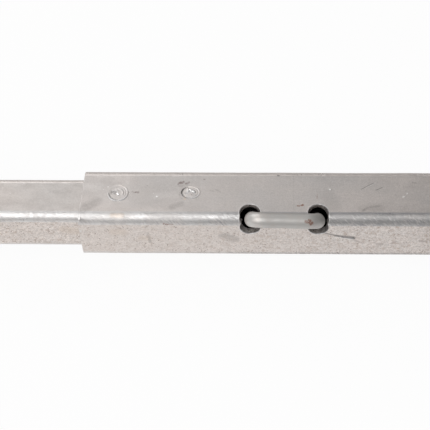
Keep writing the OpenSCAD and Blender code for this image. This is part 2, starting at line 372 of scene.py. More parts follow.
def skin_rows(rows, around, closed):
    """Faces over rows of points, with a lid at each end unless the last row meets the first."""
    numbers = [range(i * around, (i + 1) * around) for i in range(rows)]
    faces = []
    for i in range(rows if closed else rows - 1):
        faces += band(numbers[i], numbers[(i + 1) % rows])
    if not closed:
        faces += [tuple(reversed(numbers[0])), tuple(numbers[-1])]
    return faces


def tube_path(u_values, edge, wall):
    """A tube wall's outline: (place along the bar, depth) pairs, from the low end and back."""
    low, high = u_values[0], u_values[-1]
    outward = [(edge * math.sin(a), edge - edge * math.cos(a)) for a in ROUNDS]
    inward = [(edge * math.cos(a), wall - edge + edge * math.sin(a)) for a in (0.0, *ROUNDS[:-1])]
    path = [(u, 0.0) for u in u_values]
    path += [(high + out, depth) for out, depth in outward + inward]
    path += [(u, wall) for u in reversed(u_values)]
    path += [(low - out, wall - depth) for out, depth in outward]
    path += [(low - out, wall - depth) for out, depth in inward]
    return path


def tube_mesh(tube, u_values, s_values, edge, holes, height, seed, relief=None, skew=None):
    """A tube with rounded cut edges, slow waves in its faces, rolled rims and small relief.

    Gives its points, faces and two values for each point: edge, which is 1 on a rim or a cut edge,
    and bore, which is 1 in a hole and 2 inside the tube. The skew says how far the low end's cut
    strays along the bar.
    """
    wall = tube.wall
    low_x = u_values[0] - edge
    high_x = u_values[-1] + edge
    skew_reach = 9 * MM
    path = tube_path(u_values, edge, wall)
    u_path, d_path = np.array(path).T
    around = len(s_values)

    def skin(u, s, depth):
        """Points of the skin; the waves fade out with depth."""
        u, s, depth = np.broadcast_arrays(u, s, depth)
        flat_points = tube.place(u, s, 0.0).reshape(-1, 3)
        rise = waves(flat_points, height, WAVE_LENGTH, seed).reshape(u.shape)
        if relief is not None:
            rise = rise + relief(u, s)
        if skew is not None:
            u = u + skew(s) * np.clip(1 - (u - low_x) / skew_reach, 0, 1)
        return tube.place(u, s, depth - rise * np.clip(1 - depth / wall, 0, 1))

    verts = [skin(u_path[:, None], s_values[None, :], d_path[:, None]).reshape(-1, 3)]
    from_end = np.maximum(np.minimum(u_path - low_x, high_x - u_path), 0)
    edge_values = [np.repeat(np.exp(-((from_end / (0.35 * MM)) ** 2)), around)]
    bore_values = [np.repeat(2 * np.clip(d_path / wall, 0, 1), around)]
    count = len(path) * around
    skip = set()
    faces = []
    # The row of the inside that lies under row i of the outside is foot - i
    foot = 2 * len(u_values) - 1 + 2 * len(ROUNDS)

    for hole in holes:
        i0, i1 = (nearest(u_values, hole.u + side * hole.reach_u) for side in (-1, 1))
        j0, j1 = (nearest(s_values, hole.s + side * hole.reach_s) for side in (-1, 1))
        rows = [row for i in range(i0, i1) for row in (i, foot - 1 - i)]
        skip |= {(row, j) for row in rows for j in range(j0, j1)}
        loop = [(i, j0) for i in range(i0, i1)] + [(i1, j) for j in range(j0, j1)]
        loop += [(i, j1) for i in range(i1, i0, -1)] + [(i0, j) for j in range(j1, j0, -1)]
        lu = u_values[[i for i, _ in loop]] - hole.u
        ls = s_values[[j for _, j in loop]] - hole.s
        reach = np.hypot(lu, ls)
        du, ds = lu / reach, ls / reach
        previous = [i * around + j for i, j in loop]
        for t, depth, edge_wear_and_sheen, bore_depth in hole.rings(tube, du, ds, reach):
            verts.append(skin(hole.u + du * t, hole.s + ds * t, depth))
            edge_values.append(np.broadcast_to(edge_wear_and_sheen, t.shape))
            bore_values.append(np.broadcast_to(bore_depth, t.shape))
            current = range(count, count + len(loop))
            count += len(loop)
            faces += band(previous, current)
            previous = current
        faces += band(previous, [(foot - i) * around + j for i, j in loop])

    for i in range(len(path)):
        here, following = i * around, (i + 1) % len(path) * around
        for j in range(around):
            if (i, j) not in skip:
                n = (j + 1) % around
                faces.append((here + j, here + n, following + n, following + j))
    wear = {"edge": np.concatenate(edge_values), "bore": np.concatenate(bore_values)}
    return np.concatenate(verts), faces, wear


def nearest(values, wanted):
    """The number of the value that is nearest to the wanted one."""
    return int(np.argmin(np.abs(values - wanted)))


def spaced(low, high, step, fine=()):
    """Values from low to high, a step apart, and closer in each fine stretch (from, to, step)."""
    marks = sorted({low, high} | {max(low, min(high, end)) for part in fine for end in part[:2]})
    values = [low]
    for start, end in zip(marks, marks[1:]):
        if end - start < 1e-9:
            continue
        middle = (start + end) / 2
        here = min([part[2] for part in fine if part[0] <= middle <= part[1]] + [step])
        count = max(1, math.ceil((end - start) / here - 1e-6))
        values += [start + (end - start) * k / count for k in range(1, count + 1)]
    return np.array(values)


def rounded_loop(half, radius, step):
    """Points and outward normals round a square with round corners, from its top left on."""
    points = []
    bends = max(4, math.ceil(radius * math.pi / 2 / step))
    flat = half - radius
    steps = max(1, math.ceil(2 * flat / step))
    side = [(-flat + 2 * flat * k / steps, half, 0.0) for k in range(steps)]
    for k in range(bends):
        a = math.pi / 2 * k / bends
        side.append((flat + radius * math.sin(a), flat + radius * math.cos(a), a))
    for quarter in range(4):
        turn = -quarter * math.pi / 2
        c, s = math.cos(turn), math.sin(turn)
        for x, y, a in side:
            nx, ny = math.sin(a), math.cos(a)
            points.append((x * c - y * s, x * s + y * c, nx * c - ny * s, nx * s + ny * c))
    return points


def round_loop(radius, sides):
    """Points and outward normals round a circle, from its top on."""
    turns = [2 * math.pi * k / sides for k in range(sides)]
    return [(radius * math.sin(a), radius * math.cos(a), math.sin(a), math.cos(a)) for a in turns]


def sweep(path, sections):
    """Skins a row of sections. A place is (point, normal, binormal), a section is (n, b) pairs."""
    verts = []
    for (point, normal, binormal), section in zip(path, sections):
        verts += [point + normal * n + binormal * b for n, b in section]
    return verts, skin_rows(len(path), len(sections[0]), False)


def circle_section(radius, sides=40):
    turns = [2 * math.pi * k / sides for k in range(sides)]
    return [(radius * math.cos(a), radius * math.sin(a)) for a in turns]


def bead(frames, root, toe_a, toe_b, bulge, ripple, pitch, closed, taper=0.0, seed=1):
    """A weld bead. Each frame is (point, out, along, distance); root and toes are (out, along)."""
    rng = np.random.default_rng(seed)
    turns = [(k, rng.uniform(0, 6.28), rng.uniform(0.4, 1.0)) for k in (3, 5, 8, 13)]
    length = frames[-1][3]
    if closed:
        length += (frames[0][0] - frames[-1][0]).length
        pitch = length / round(length / pitch)
    verts = []
    sides = 14
    root, toe_a, toe_b = Vector(root), Vector(toe_a), Vector(toe_b)
    chord = toe_b - toe_a
    lift = Vector((chord.y, -chord.x)).normalized()
    if lift.dot((toe_a + toe_b) / 2 - root) < 0:
        lift = -lift
    for point, out, along, distance in frames:
        sway = sum(w * math.sin(2 * math.pi * k * distance / length + p) for k, p, w in turns) / 4
        end = 1.0
        if taper:
            end = min(1.0, math.sqrt(max(0.0, min(distance, length - distance) / taper)) + 0.02)
        verts.append(point + out * root.x + along * root.y)
        for k in range(sides + 1):
            v = k / sides
            crown = math.sin(math.pi * v)
            scale = abs(math.sin(math.pi * (distance / pitch + 0.55 * crown + 0.15 * sway))) ** 0.7
            rise = crown * (bulge * (1 + 0.3 * sway) + ripple * (scale - 0.6))
            spot = root + (toe_a + chord * v + lift * rise - root) * end
            verts.append(point + out * spot.x + along * spot.y)
    return verts, skin_rows(len(frames), sides + 2, closed)


# ---------------------------------------------------------------- finishes


class Graph:
    """A node tree, laid out as it is written."""

    def __init__(self, tree):
        self.nodes = tree.nodes
        self.links = tree.links

    def node(self, kind, inputs=(), **settings):
        """A new node with these settings and inputs, which are a row or go by name or number."""
        node = self.nodes.new(kind)
        for key, setting in settings.items():
            setattr(node, key, setting)
        for key, value in inputs.items() if isinstance(inputs, dict) else enumerate(inputs):
            if value is not None:
                self.put(node.inputs[key], value)
        return node

    def put(self, socket, value):
        if isinstance(value, bpy.types.NodeSocket):
            self.links.new(value, socket)
        else:
            socket.default_value = value

    def vector(self, operation, a, b=None, scale=None):
        node = self.node("ShaderNodeVectorMath", {0: a, 1: b, "Scale": scale}, operation=operation)
        return node.outputs["Value" if operation in ("DOT_PRODUCT", "LENGTH") else "Vector"]

    def math(self, operation, a, b=None, clamp=False):
        return self.node("ShaderNodeMath", (a, b), operation=operation, use_clamp=clamp).outputs[0]

    def times(self, first, *others):
        for value in others:
            first = self.math("MULTIPLY", first, value)
        return first

    def plus(self, first, *others):
        for value in others:
            first = self.math("ADD", first, value)
        return first

    def minus(self, a, b):
        return self.math("SUBTRACT", a, b)

    def axis(self, vector, index):
        return self.node("ShaderNodeSeparateXYZ", (vector,)).outputs[index]

    def step(self, value, low, high, start=0.0, end=1.0):
        """Smoothly from start to end as the value goes from low to high."""
        row = (value, low, high, start, end)
        return self.node("ShaderNodeMapRange", row, interpolation_type="SMOOTHSTEP").outputs[0]


class Finish(Graph):
    """A procedural material on one Principled shader."""

    def __init__(self, name):
        self.material = bpy.data.materials.new(name)
        self.material.use_nodes = True
        super().__init__(self.material.node_tree)
        self.nodes.clear()
        self.shader = self.node("ShaderNodeBsdfPrincipled", {"IOR": 1.6})
        self.node("ShaderNodeOutputMaterial", {"Surface": self.shader.outputs[0]})
        coords = self.node("ShaderNodeTexCoord")
        self.normal = coords.outputs["Normal"]
        from_shoulder = self.vector("SUBTRACT", coords.outputs["Object"], (SHOULDER_X, 0, AXIS_Z))
        self.place = self.vector("SCALE", from_shoulder, scale=1 / MM)

    def noise(self, grain, detail, rough, stretch=(1, 1, 1), shift=0.0, swirl=0.0, place=None):
        """Noise whose grains are about this many millimetres across, longer along each stretch."""
        fit = tuple(1 / (grain * s) for s in stretch)
        where = self.vector("MULTIPLY", place or self.place, fit)
        where = self.vector("ADD", where, (shift, 0.37 * shift, 0.71 * shift))
        inputs = {"Vector": where, "Scale": 1.0, "Detail": detail, "Roughness": rough}
        inputs["Distortion"] = swirl
        return self.node("ShaderNodeTexNoise", inputs).outputs["Fac"]

    def value_of(self, key):
        """A value that the mesh holds at each point."""
        return self.node("ShaderNodeAttribute", attribute_name=key).outputs["Fac"]

    def joined(self, x, y, z):
        return self.node("ShaderNodeCombineXYZ", (x, y, z)).outputs[0]

    def cells(self, grain, shift=0.0):
        """Cells about this many millimetres across: the node's outputs."""
        where = self.vector("ADD", self.vector("SCALE", self.place, scale=1 / grain), (shift,) * 3)
        return self.node("ShaderNodeTexVoronoi", {"Vector": where, "Scale": 1.0}).outputs

    def blend(self, part_of_b, a, b, kind="MIX"):
        """A mix of two colours, each a node's output or three numbers."""
        a, b = (c if isinstance(c, bpy.types.NodeSocket) else (*c, 1.0) for c in (a, b))
        inputs = {0: part_of_b, 6: a, 7: b}
        return self.node("ShaderNodeMix", inputs, data_type="RGBA", blend_type=kind).outputs[2]

    def coat(self, part, tint):
        """Lays a colour over the finish's own, as thickly as part says."""
        self.zinc = self.blend(part, self.zinc, tint)

    def wobble(self, reach, grain):
        """The place, pushed about so that marks get uneven edges."""
        where = self.vector("SCALE", self.place, scale=1 / grain)
        noise = self.node("ShaderNodeTexNoise", {"Vector": where, "Scale": 1.0, "Detail": 2.0})
        push = self.vector("SUBTRACT", noise.outputs["Color"], (0.5, 0.5, 0.5))
        return self.vector("ADD", self.place, self.vector("SCALE", push, scale=2 * reach))

    def mark(self, place, start, end, half_width, soft):
        """1 within half a width of the line from start to end, fading out over a soft edge."""
        line = Vector(end) - Vector(start)
        away = self.vector("SUBTRACT", place, start)
        along = self.vector("DOT_PRODUCT", away, tuple(line / line.length_squared))
        along = self.math("ADD", along, 0.0, clamp=True)
        away = self.vector("SUBTRACT", away, self.vector("SCALE", tuple(line), scale=along))
        return self.step(self.vector("LENGTH", away), half_width, half_width + soft, 1.0, 0.0)

    def marks(self, place, rows):
        """The strongest of some marks at each point: (start, end, half width, soft, strength)."""
        total = None
        for *shape, strength in rows:
            one = self.times(self.mark(place, *shape), strength)
            total = one if total is None else self.math("MAXIMUM", total, one)
        return total

    def finish(self, rough, heights, metal):
        """Joins the colour, roughness and bump (pairs of height and millimetres) to the shader."""
        normal = None
        for height, depth in heights:
            inputs = {"Strength": 1.0, "Distance": depth * MM, "Height": height, "Normal": normal}
            normal = self.node("ShaderNodeBump", inputs).outputs[0]
        inputs = {"Base Color": self.zinc, "Roughness": rough, "Metallic": metal, "Normal": normal}
        for key, value in inputs.items():
            if value is not None:
                self.put(self.shader.inputs[key], value)
        return self.material


def scaled(tone, *by):
    """A colour with its channels multiplied by one number, or each by its own."""
    return tuple(a * b for a, b in zip(tone, by if len(by) == 3 else by * 3))


def between(a, b, part_of_b):
    """A colour between two."""
    return tuple(p * (1 - part_of_b) + q * part_of_b for p, q in zip(a, b))


def on_top(*rows):
    """Marks on the body tube's top, which are given by x and y."""
    top = BODY_W / MM / 2
    return [((*start, top), (*end, top), *rest) for start, end, *rest in rows]


def on_front(*rows):
    """Marks on the body tube's front, which are given by x and z."""
    y = -BODY_W / MM / 2
    return [((x1, y, z1), (x2, y, z2), *rest) for (x1, z1), (x2, z2), *rest in rows]


# Marks on the body tube, in millimetres from the shoulder on the bar's axis:
# start, end, half width, soft edge, strength
RUST_MARKS = (
    *on_top(
        ((106.4, -7.3), (107.2, -7.2), 0.2, 0.45, 0.95),
        ((107.9, -7.1), (109.0, -6.7), 0.25, 0.45, 1.0),
        ((115.8, 0.3), (115.8, -2.7), 0.02, 0.4, 0.5),
    ),
    ((41.0, -15.8, 11.9), (46.0, -15.8, 11.7), 0.15, 0.45, 0.9),
)
BROWN_MARKS = (
    *on_top(
        ((25.3, 0.9), (26.5, 0.4), 0.15, 0.45, 0.5),
        ((27.1, 0.6), (28.5, 0.7), 0.3, 0.45, 0.75),
        ((47.9, 5.8), (48.6, 6.6), 0.2, 0.5, 0.6),
        ((48.6, 6.6), (50.2, 7.0), 0.45, 0.55, 0.75),
        ((48.4, 4.7), (49.6, 4.6), 0.3, 0.9, 0.22),
        ((51.5, 6.0), (53.0, 6.8), 0.25, 0.5, 0.65),
        ((60.3, 8.7), (60.5, 8.7), 0.25, 0.35, 0.8),
        ((54.4, -0.7), (54.5, -0.7), 0.15, 0.35, 0.55),
        ((122.9, 2.6), (123.0, 2.6), 0.12, 0.35, 0.7),
    ),
    *on_front(
        ((96.0, -12.5), (110.5, -12.9), 0.3, 0.8, 0.6),
        ((110.5, -12.9), (121.0, -13.0), 0.1, 0.6, 0.4),
        ((85.9, -7.7), (88.0, -7.9), 0.1, 0.7, 0.35),
        ((145.6, -3.4), (147.6, -3.4), 0.5, 0.8, 0.3),
        ((152.4, -3.0), (154.2, -1.4), 0.45, 0.7, 0.38),
        ((166.3, -0.8), (168.4, -1.1), 0.45, 0.7, 0.45),
        ((134.4, -0.4), (138.0, -2.6), 0.15, 0.9, 0.35),
    ),
)
STAIN_MARKS = (
    *on_top(
        ((2.0, -9.4), (8.4, -5.0), 1.3, 2.6, 0.32),
        ((45.2, -8.4), (50.0, -6.4), 0.6, 1.8, 0.3),
        ((96.7, 11.4), (97.1, 11.3), 0.3, 0.4, 1.0),
        ((32.4, 4.9), (32.5, 4.9), 0.1, 0.3, 0.7),
        ((104.4, 11.5), (104.4, -10.4), 0.0, 0.32, 0.22),
        ((63.2, 1.7), (65.4, 1.5), 0.02, 0.4, 0.4),
        ((66.2, 2.6), (68.6, 1.0), 0.02, 0.4, 0.4),
        ((137.8, -9.9), (140.2, -8.3), 0.3, 0.7, 0.5),
        ((141.4, -8.0), (145.6, -7.2), 0.3, 0.7, 0.42),
        ((137.2, -8.8), (146.0, -8.2), 0.8, 2.6, 0.16),
        ((121.0, -1.5), (124.0, -7.0), 1.5, 3.5, 0.14),
        ((162.4, 7.3), (164.4, 7.0), 0.1, 0.5, 0.4),
    ),
    *on_front(
        ((70.5, 2.7), (75.5, 0.1), 1.2, 2.4, 0.36),
        ((33.2, 4.9), (32.8, 1.0), 0.1, 1.0, 0.25),
        ((33.6, 1.2), (33.9, -2.8), 0.2, 0.9, 0.36),
    ),
)
# Marks with clean edges: the gouge in the front, scratches, and painted shade in the hollows of the
# plug welds
SHARP_MARKS_AND_SHADE = (
    *on_top(
        ((137.2, 3.0), (143.4, 6.9), 0.0, 0.36, 0.62),
        ((144.4, 2.5), (147.6, 4.2), 0.0, 0.36, 0.66),
        # Painted shade in the hollows of the two plug welds
        ((16.5, 0.8), (17.3, 0.1), 0.45, 0.9, 0.42),
        ((17.4, 1.3), (17.9, 0.0), 0.15, 0.5, 0.5),
        ((15.3, 0.7), (15.4, -0.4), 0.2, 0.6, 0.25),
        ((51.9, 3.7), (50.2, 2.4), 0.15, 0.4, 0.55),
        ((50.2, 2.4), (49.75, 0.9), 0.22, 0.4, 0.72),
        ((49.75, 0.9), (50.9, -1.3), 0.18, 0.4, 0.68),
        ((53.0, 0.75), (54.2, 1.2), 0.1, 0.35, 0.45),
        ((54.2, 1.2), (55.6, 0.2), 0.05, 0.3, 0.4),
    ),
    *on_front(
        ((118.9, 5.55), (126.0, 3.2), 0.3, 0.4, 0.6),
        ((125.0, 3.3), (129.5, 2.4), 0.6, 0.35, 0.5),
        ((128.5, 2.5), (133.5, 1.7), 0.95, 0.35, 0.5),
        ((133.5, 1.6), (134.1, 1.1), 0.3, 0.3, 0.9),
        ((118.4, 6.2), (119.2, 5.3), 0.25, 0.3, 0.8),
    ),
)
BRIGHT_MARKS_AND_HIGHLIGHTS = (
    *on_top(
        ((37.5, -1.9), (37.6, -1.9), 0.2, 0.35, 0.9),
        ((122.1, 2.8), (122.2, 2.8), 0.25, 0.35, 0.9),
        ((157.4, -1.6), (157.9, -1.3), 0.2, 0.35, 0.7),
        ((159.4, 0.3), (159.6, 0.7), 0.15, 0.35, 0.6),
        ((13.2, 3.9), (13.3, 3.9), 0.15, 0.3, 0.7),
        ((139.2, 3.8), (143.8, 6.6), 0.0, 0.3, 0.3),
        # A painted highlight on a ridge of the second plug weld
        ((52.7, 2.2), (52.8, 1.3), 0.2, 0.35, 0.6),
    ),
    *on_front(
        ((125.0, 2.1), (133.4, 0.35), 0.0, 0.45, 0.5),
    ),
)
# Painted highlights on the plug welds' faces: bright spots that are smooth as well
GLOSS_HIGHLIGHT_MARKS = (
    *on_top(
        ((17.95, 0.0), (18.7, -0.75), 0.22, 0.3, 1.0),
        ((53.7, 2.45), (55.6, 1.2), 0.26, 0.3, 1.0),
    ),
)
TAN_MARKS = (
    *on_top(
        ((51.3, -2.0), (51.4, -2.1), 0.3, 0.4, 0.9),
        ((51.2, -3.5), (51.3, -3.5), 0.3, 0.4, 0.9),
    ),
    *on_front(
        ((16.5, 5.6), (21.0, 5.2), 1.2, 2.6, 0.4),
        ((30.0, 0.8), (33.0, 0.2), 0.8, 2.0, 0.35),
    ),
    ((16.6, -13.2, 15.5), (21.2, -13.2, 15.5), 0.6, 1.4, 0.6),
    ((-8.5, -12.75, 3.0), (-2.5, -12.75, 1.6), 1.4, 2.6, 0.45),
)
# Rust on the lock ring's rod
ROD_RUST_MARKS = (
    ((110.3, -19.8, 20.1), (112.9, -20.4, 19.5), 0.4, 0.7, 0.6),
    ((111.9, -19.8, 20.1), (112.7, -20.4, 19.5), 0.8, 0.7, 0.8),
    ((86.6, -20.9, 15.4), (89.5, -21.0, 15.3), 0.3, 0.9, 0.35),
)


def zinc_tube(name, colours):
    """Matt hot-dip zinc of a square tube: smooth top, speckled side, rubbed corners and marks, with
    painted light and shade along the bar, on the corners, at the plug welds and inside.
    """
    f = Finish(name)
    x = f.axis(f.place, 0)
    ny = f.math("ABSOLUTE", f.axis(f.normal, 1))
    nz = f.axis(f.normal, 2)
    side = f.step(ny, 0.5, 0.95)
    corner = f.step(f.times(ny, f.math("ABSOLUTE", nz), 2.0), 0.06, 0.34)
    edge = f.value_of("edge")
    bore = f.value_of("bore")
    nose = f.step(x, 0.3, -0.3)

    broad = f.noise(26.0, 2.0, 0.5, stretch=(1.6, 1, 1), shift=3.1)
    cloudy = f.noise(6.5, 4.0, 0.6, stretch=(1.5, 1, 1), shift=8.2, swirl=0.6)
    mottle = f.noise(1.7, 4.0, 0.7, shift=1.7, swirl=0.9)
    fine = f.noise(0.62, 2.0, 0.75, shift=5.9)
    streak = f.noise(0.9, 3.0, 0.6, stretch=(22, 1, 1), shift=2.4)

    # Slow change from grey to warm, warmest on the sides, which are painted lighter as well.
    # Painted light and shade along the bar: the sides lighter at the shoulder and darker towards
    # the handle end, the top darker towards that end; the nose's top is darker.
    f.zinc = f.blend(f.step(broad, 0.32, 0.68, 0.0, 0.6), colours.face, colours.warm)
    f.coat(f.times(side, 0.85), scaled(colours.warm, 1.05))
    top_shade_falloff = f.blend(f.step(x, 120.0, 175.0), (0.96, 0.96, 0.965), (0.9, 0.9, 0.905))
    side_light_falloff = f.blend(f.step(x, 0.0, 150.0), (1.06, 1.06, 1.06), (0.97, 0.975, 0.985))
    falloff_and_tone = f.blend(side, top_shade_falloff, side_light_falloff)
    falloff_and_tone = f.blend(f.times(nose, f.minus(1.0, side)), falloff_and_tone, (0.91, 0.91, 0.91))
    f.zinc = f.blend(1.0, f.zinc, falloff_and_tone, "MULTIPLY")

    # Grain, mottling and clouds, strongest on the sides and towards the handle end
    reach = f.plus(f.step(x, 40.0, 150.0, 0.8, 1.25), f.times(nose, side, 0.5))
    strength = f.times(f.plus(f.times(side, 0.52), 0.48), reach)
    layers = ((fine, 0.85), (mottle, 0.5), (cloudy, 0.3), (streak, 0.16))
    grain = f.plus(*[f.times(f.minus(layer, 0.5), weight) for layer, weight in layers])
    f.zinc = f.vector("SCALE", f.zinc, scale=f.plus(f.times(grain, strength), 1.0))
    brown = scaled(colours.warm, 0.74, 0.62, 0.53)
    tarnish = f.times(f.step(mottle, 0.5, 0.36), f.times(side, reach), 0.4)
    f.coat(tarnish, brown)
    pale = f.step(f.noise(2.6, 4.0, 0.75, shift=11.3, swirl=0.8), 0.54, 0.68)
    f.coat(f.times(pale, side, f.times(reach, 0.2)), colours.fleck)

    # Rubbed corners with slanting hairlines; their colour holds a painted highlight, brightest
    # towards the nose and fading towards the handle end
    slant = f.times(f.plus(f.axis(f.place, 1), f.axis(f.place, 2)), 0.75)
    across = f.joined(f.plus(x, slant), f.minus(x, slant), 0.0)
    hair = f.noise(1.0, 3.0, 0.7, stretch=(1.0, 5.0, 1.0), shift=4.4, place=across)
    glint = f.step(hair, 0.44, 0.34)
    hair = f.step(hair, 0.46, 0.58)
    patchy = f.step(f.noise(7.0, 3.0, 0.6, stretch=(1.6, 1, 1), shift=6.6), 0.36, 0.62)
    worn = f.times(corner, f.step(patchy, 0.0, 1.0, 0.7, 1.0))
    # Painted highlight: the rubbed corner colour fades from bright at the nose to dull at the
    # handle end
    rubbed = f.vector("SCALE", colours.corner[:], scale=f.step(x, -10.0, 150.0, 1.14, 0.66))
    f.coat(f.times(worn, 0.9), rubbed)
    low = f.times(corner, f.step(ny, 0.5, 0.85))
    scuff = f.times(low, hair, f.step(x, 20.0, 130.0, 0.2, 0.85))
    scuff = f.times(scuff, f.step(patchy, 0.0, 1.0, 1.0, 0.35))
    dark = (0.25, 0.25, 0.275)
    f.coat(scuff, dark)
    f.coat(f.times(corner, glint, f.step(x, 40.0, 120.0, 0.08, 0.32)), colours.fleck)
    # Painted reflection: a thin dark line where the top and bottom faces meet the corners, stronger
    # towards the handle end
    dark_reflection_line = f.times(f.step(ny, 0.02, 0.12), f.step(ny, 0.38, 0.2))
    dark_reflection_line = f.times(dark_reflection_line, f.step(x, 20.0, 125.0, 0.1, 0.42))
    f.coat(dark_reflection_line, dark)
    # Browner on the corners that face down, and duller ones at the back
    f.coat(f.times(corner, f.step(nz, 0.0, -0.25), 0.26), brown)
    behind = f.times(corner, f.step(f.axis(f.place, 1), 0.0, 5.0), 0.85)
    f.coat(behind, scaled(colours.warm, 1.16))

    # Pits and flecks
    pit_size = f.step(f.noise(4.5, 2.0, 0.5, shift=9.4), 0.38, 0.62, 0.0, 0.27)
    pit = f.step(f.minus(pit_size, f.cells(1.35, shift=2.0)["Distance"]), -0.02, 0.05)
    pit = f.times(pit, f.plus(f.times(side, 0.58), 0.06), f.minus(1.0, corner))
    f.coat(pit, between(colours.pit, colours.rust, 0.5))
    fleck = f.step(f.cells(3.4, shift=7.0)["Distance"], 0.03, 0.09, 0.5, 0.0)
    f.coat(fleck, colours.fleck)

    # The marks; the stained ones have uneven edges and thin out with the mottling
    wobbly = f.wobble(0.6, 0.9)
    broken = f.step(f.noise(0.7, 3.0, 0.7, shift=7.7), 0.38, 0.56)
    cloud = f.step(mottle, 0.36, 0.6, 0.45, 1.0)
    for rows, gaps, tint in (
        (TAN_MARKS, cloud, scaled(colours.warm, 1.0, 0.92, 0.82)),
        (STAIN_MARKS, cloud, colours.pit),
        (BROWN_MARKS, cloud, colours.stain),
        (RUST_MARKS, broken, colours.rust),
    ):
        f.coat(f.times(f.marks(wobbly, rows), gaps), tint)
    # Clean dark marks, with painted shade at the plug welds
    f.coat(f.marks(f.place, SHARP_MARKS_AND_SHADE), colours.pit)
    f.coat(f.marks(f.place, BRIGHT_MARKS_AND_HIGHLIGHTS), colours.fleck)
    # Painted highlights on the plug welds, which are smoother there as well
    gloss_highlight = f.marks(f.place, GLOSS_HIGHLIGHT_MARKS)
    f.coat(gloss_highlight, colours.fleck)

    # Cut edges, the walls of holes, darker in streaks, and the inside of the tube, painted near
    # black as painted shade
    streaky = f.step(f.noise(1.3, 3.0, 0.65, shift=9.1), 0.4, 0.56, 0.72, 0.12)
    f.coat(f.times(f.step(bore, 0.0, 0.6), streaky), colours.pit)
    # Painted shade: the inside of the tube is painted near black
    f.coat(f.step(bore, 1.05, 1.6, 0.0, 0.95), (0.012, 0.012, 0.013))
    # Bright zinc on rims and cut edges, partly a painted highlight along them
    chips_and_rim_highlight = f.step(f.noise(1.3, 3.0, 0.65, shift=13.7), 0.4, 0.62, 0.06, 0.5)
    f.coat(f.times(edge, chips_and_rim_highlight), colours.fleck)

    rough = f.step(cloudy, 0.3, 0.7, colours.roughness - 0.05, colours.roughness + 0.09)
    rough = f.plus(rough, f.times(worn, -0.17), f.times(corner, hair, 0.08), f.times(gloss_highlight, -0.34))
    grooves = f.times(hair, corner)
    heights = (mottle, 0.05), (fine, 0.035), (f.minus(1.0, pit), 0.05), (grooves, 0.04)
    return f.finish(rough, heights, colours.metal)


def zinc_rod(name, colours):
    """Zinc of the round bars: smoother and brighter, with drawn streaks and a little rust."""
    f = Finish(name)
    cloudy = f.noise(5.0, 4.0, 0.6, shift=2.2, swirl=0.5)
    streak = f.noise(0.7, 3.0, 0.6, stretch=(9, 1, 1), shift=6.1)
    fine = f.noise(0.5, 2.0, 0.7, shift=1.4)
    dull = scaled(colours.rod, 0.8)
    f.zinc = f.blend(f.step(cloudy, 0.4, 0.7), colours.rod, scaled(colours.warm, 0.9))
    f.coat(f.step(streak, 0.5, 0.78, 0.0, 0.45), dull)
    f.coat(f.step(fine, 0.62, 0.85, 0.0, 0.25), colours.pit)
    # The ring's bend towards the nose is smoother; the rest of the bars is painted darker as
    # painted shade, so that the bend stays bright like its highlight
    bend = f.step(f.axis(f.place, 0), 92.5, 87.0)
    f.coat(f.times(f.minus(1.0, bend), 0.6), dull)
    broken = f.step(f.noise(0.8, 3.0, 0.7, shift=7.7), 0.3, 0.5)
    rust = f.times(f.marks(f.wobble(0.6, 0.8), ROD_RUST_MARKS), broken)
    f.coat(rust, colours.rust)
    rough = f.plus(f.step(cloudy, 0.3, 0.7, 0.47, 0.58), f.times(bend, -0.12), f.times(rust, 0.3))
    return f.finish(rough, ((cloudy, 0.04), (streak, 0.02), (fine, 0.01)), 0.62)


def zinc_guide(name, colours):
    """Zinc of the guides and caps: greyer, with a soft crystal pattern and small runs."""
    f = Finish(name)
    broad = f.noise(30.0, 2.0, 0.5, shift=4.1)
    crystal = f.axis(f.cells(4.2, shift=1.0)["Color"], 0)
    cloudy = f.noise(7.0, 4.0, 0.6, shift=3.6, swirl=0.7)
    fine = f.noise(0.6, 2.0, 0.7, shift=8.8)
    run = f.noise(1.6, 3.0, 0.6, stretch=(1, 12, 1), shift=2.9)
    f.zinc = f.blend(f.step(broad, 0.3, 0.7), colours.plate, colours.face)
    for layer, low, high, part, tint in (
        (crystal, 0.0, 1.0, 0.22, scaled(colours.plate, 0.78)),
        (cloudy, 0.55, 0.75, 0.5, scaled(colours.warm, 1.12)),
        (run, 0.6, 0.8, 0.2, scaled(colours.plate, 1.15)),
        (fine, 0.64, 0.84, 0.3, colours.pit),
    ):
        f.coat(f.step(layer, low, high, 0.0, part), tint)
    rough = f.step(crystal, 0.0, 1.0, 0.42, 0.56)
    heights = (cloudy, 0.05), (crystal, 0.012), (run, 0.03), (fine, 0.012)
    return f.finish(rough, heights, colours.metal)


def weld_zinc(name, colours):
    """Zinc over a weld: dull, grainy, and a little brown in its creases."""
    f = Finish(name)
    cloudy = f.noise(3.0, 4.0, 0.65, shift=5.2, swirl=0.6)
    fine = f.noise(0.45, 3.0, 0.7, shift=3.3)
    f.zinc = f.blend(f.step(cloudy, 0.35, 0.7), colours.weld, colours.face)
    brown = between(colours.weld, colours.rust, 0.45)
    f.coat(f.step(cloudy, 0.62, 0.78, 0.0, 0.35), brown)
    f.coat(f.step(fine, 0.6, 0.82, 0.0, 0.3), colours.pit)
    rough = f.step(cloudy, 0.3, 0.7, 0.4, 0.56)
    return f.finish(rough, ((cloudy, 0.05), (fine, 0.02)), colours.metal)


# What makes each finish, and the record's slot for it
FINISHES = {
    "zinc_tube": (zinc_tube, "tube_zinc"),
    "zinc_rod": (zinc_rod, "rod_zinc"),
    "zinc_guide": (zinc_guide, "guide_zinc"),
    "weld_zinc": (weld_zinc, "weld_zinc"),
}


# ---------------------------------------------------------------- places on the bolt


def body_skin(sizes):
    return SquareTube(BODY_W, sizes.body_corner, sizes.wall, AXIS_Z)


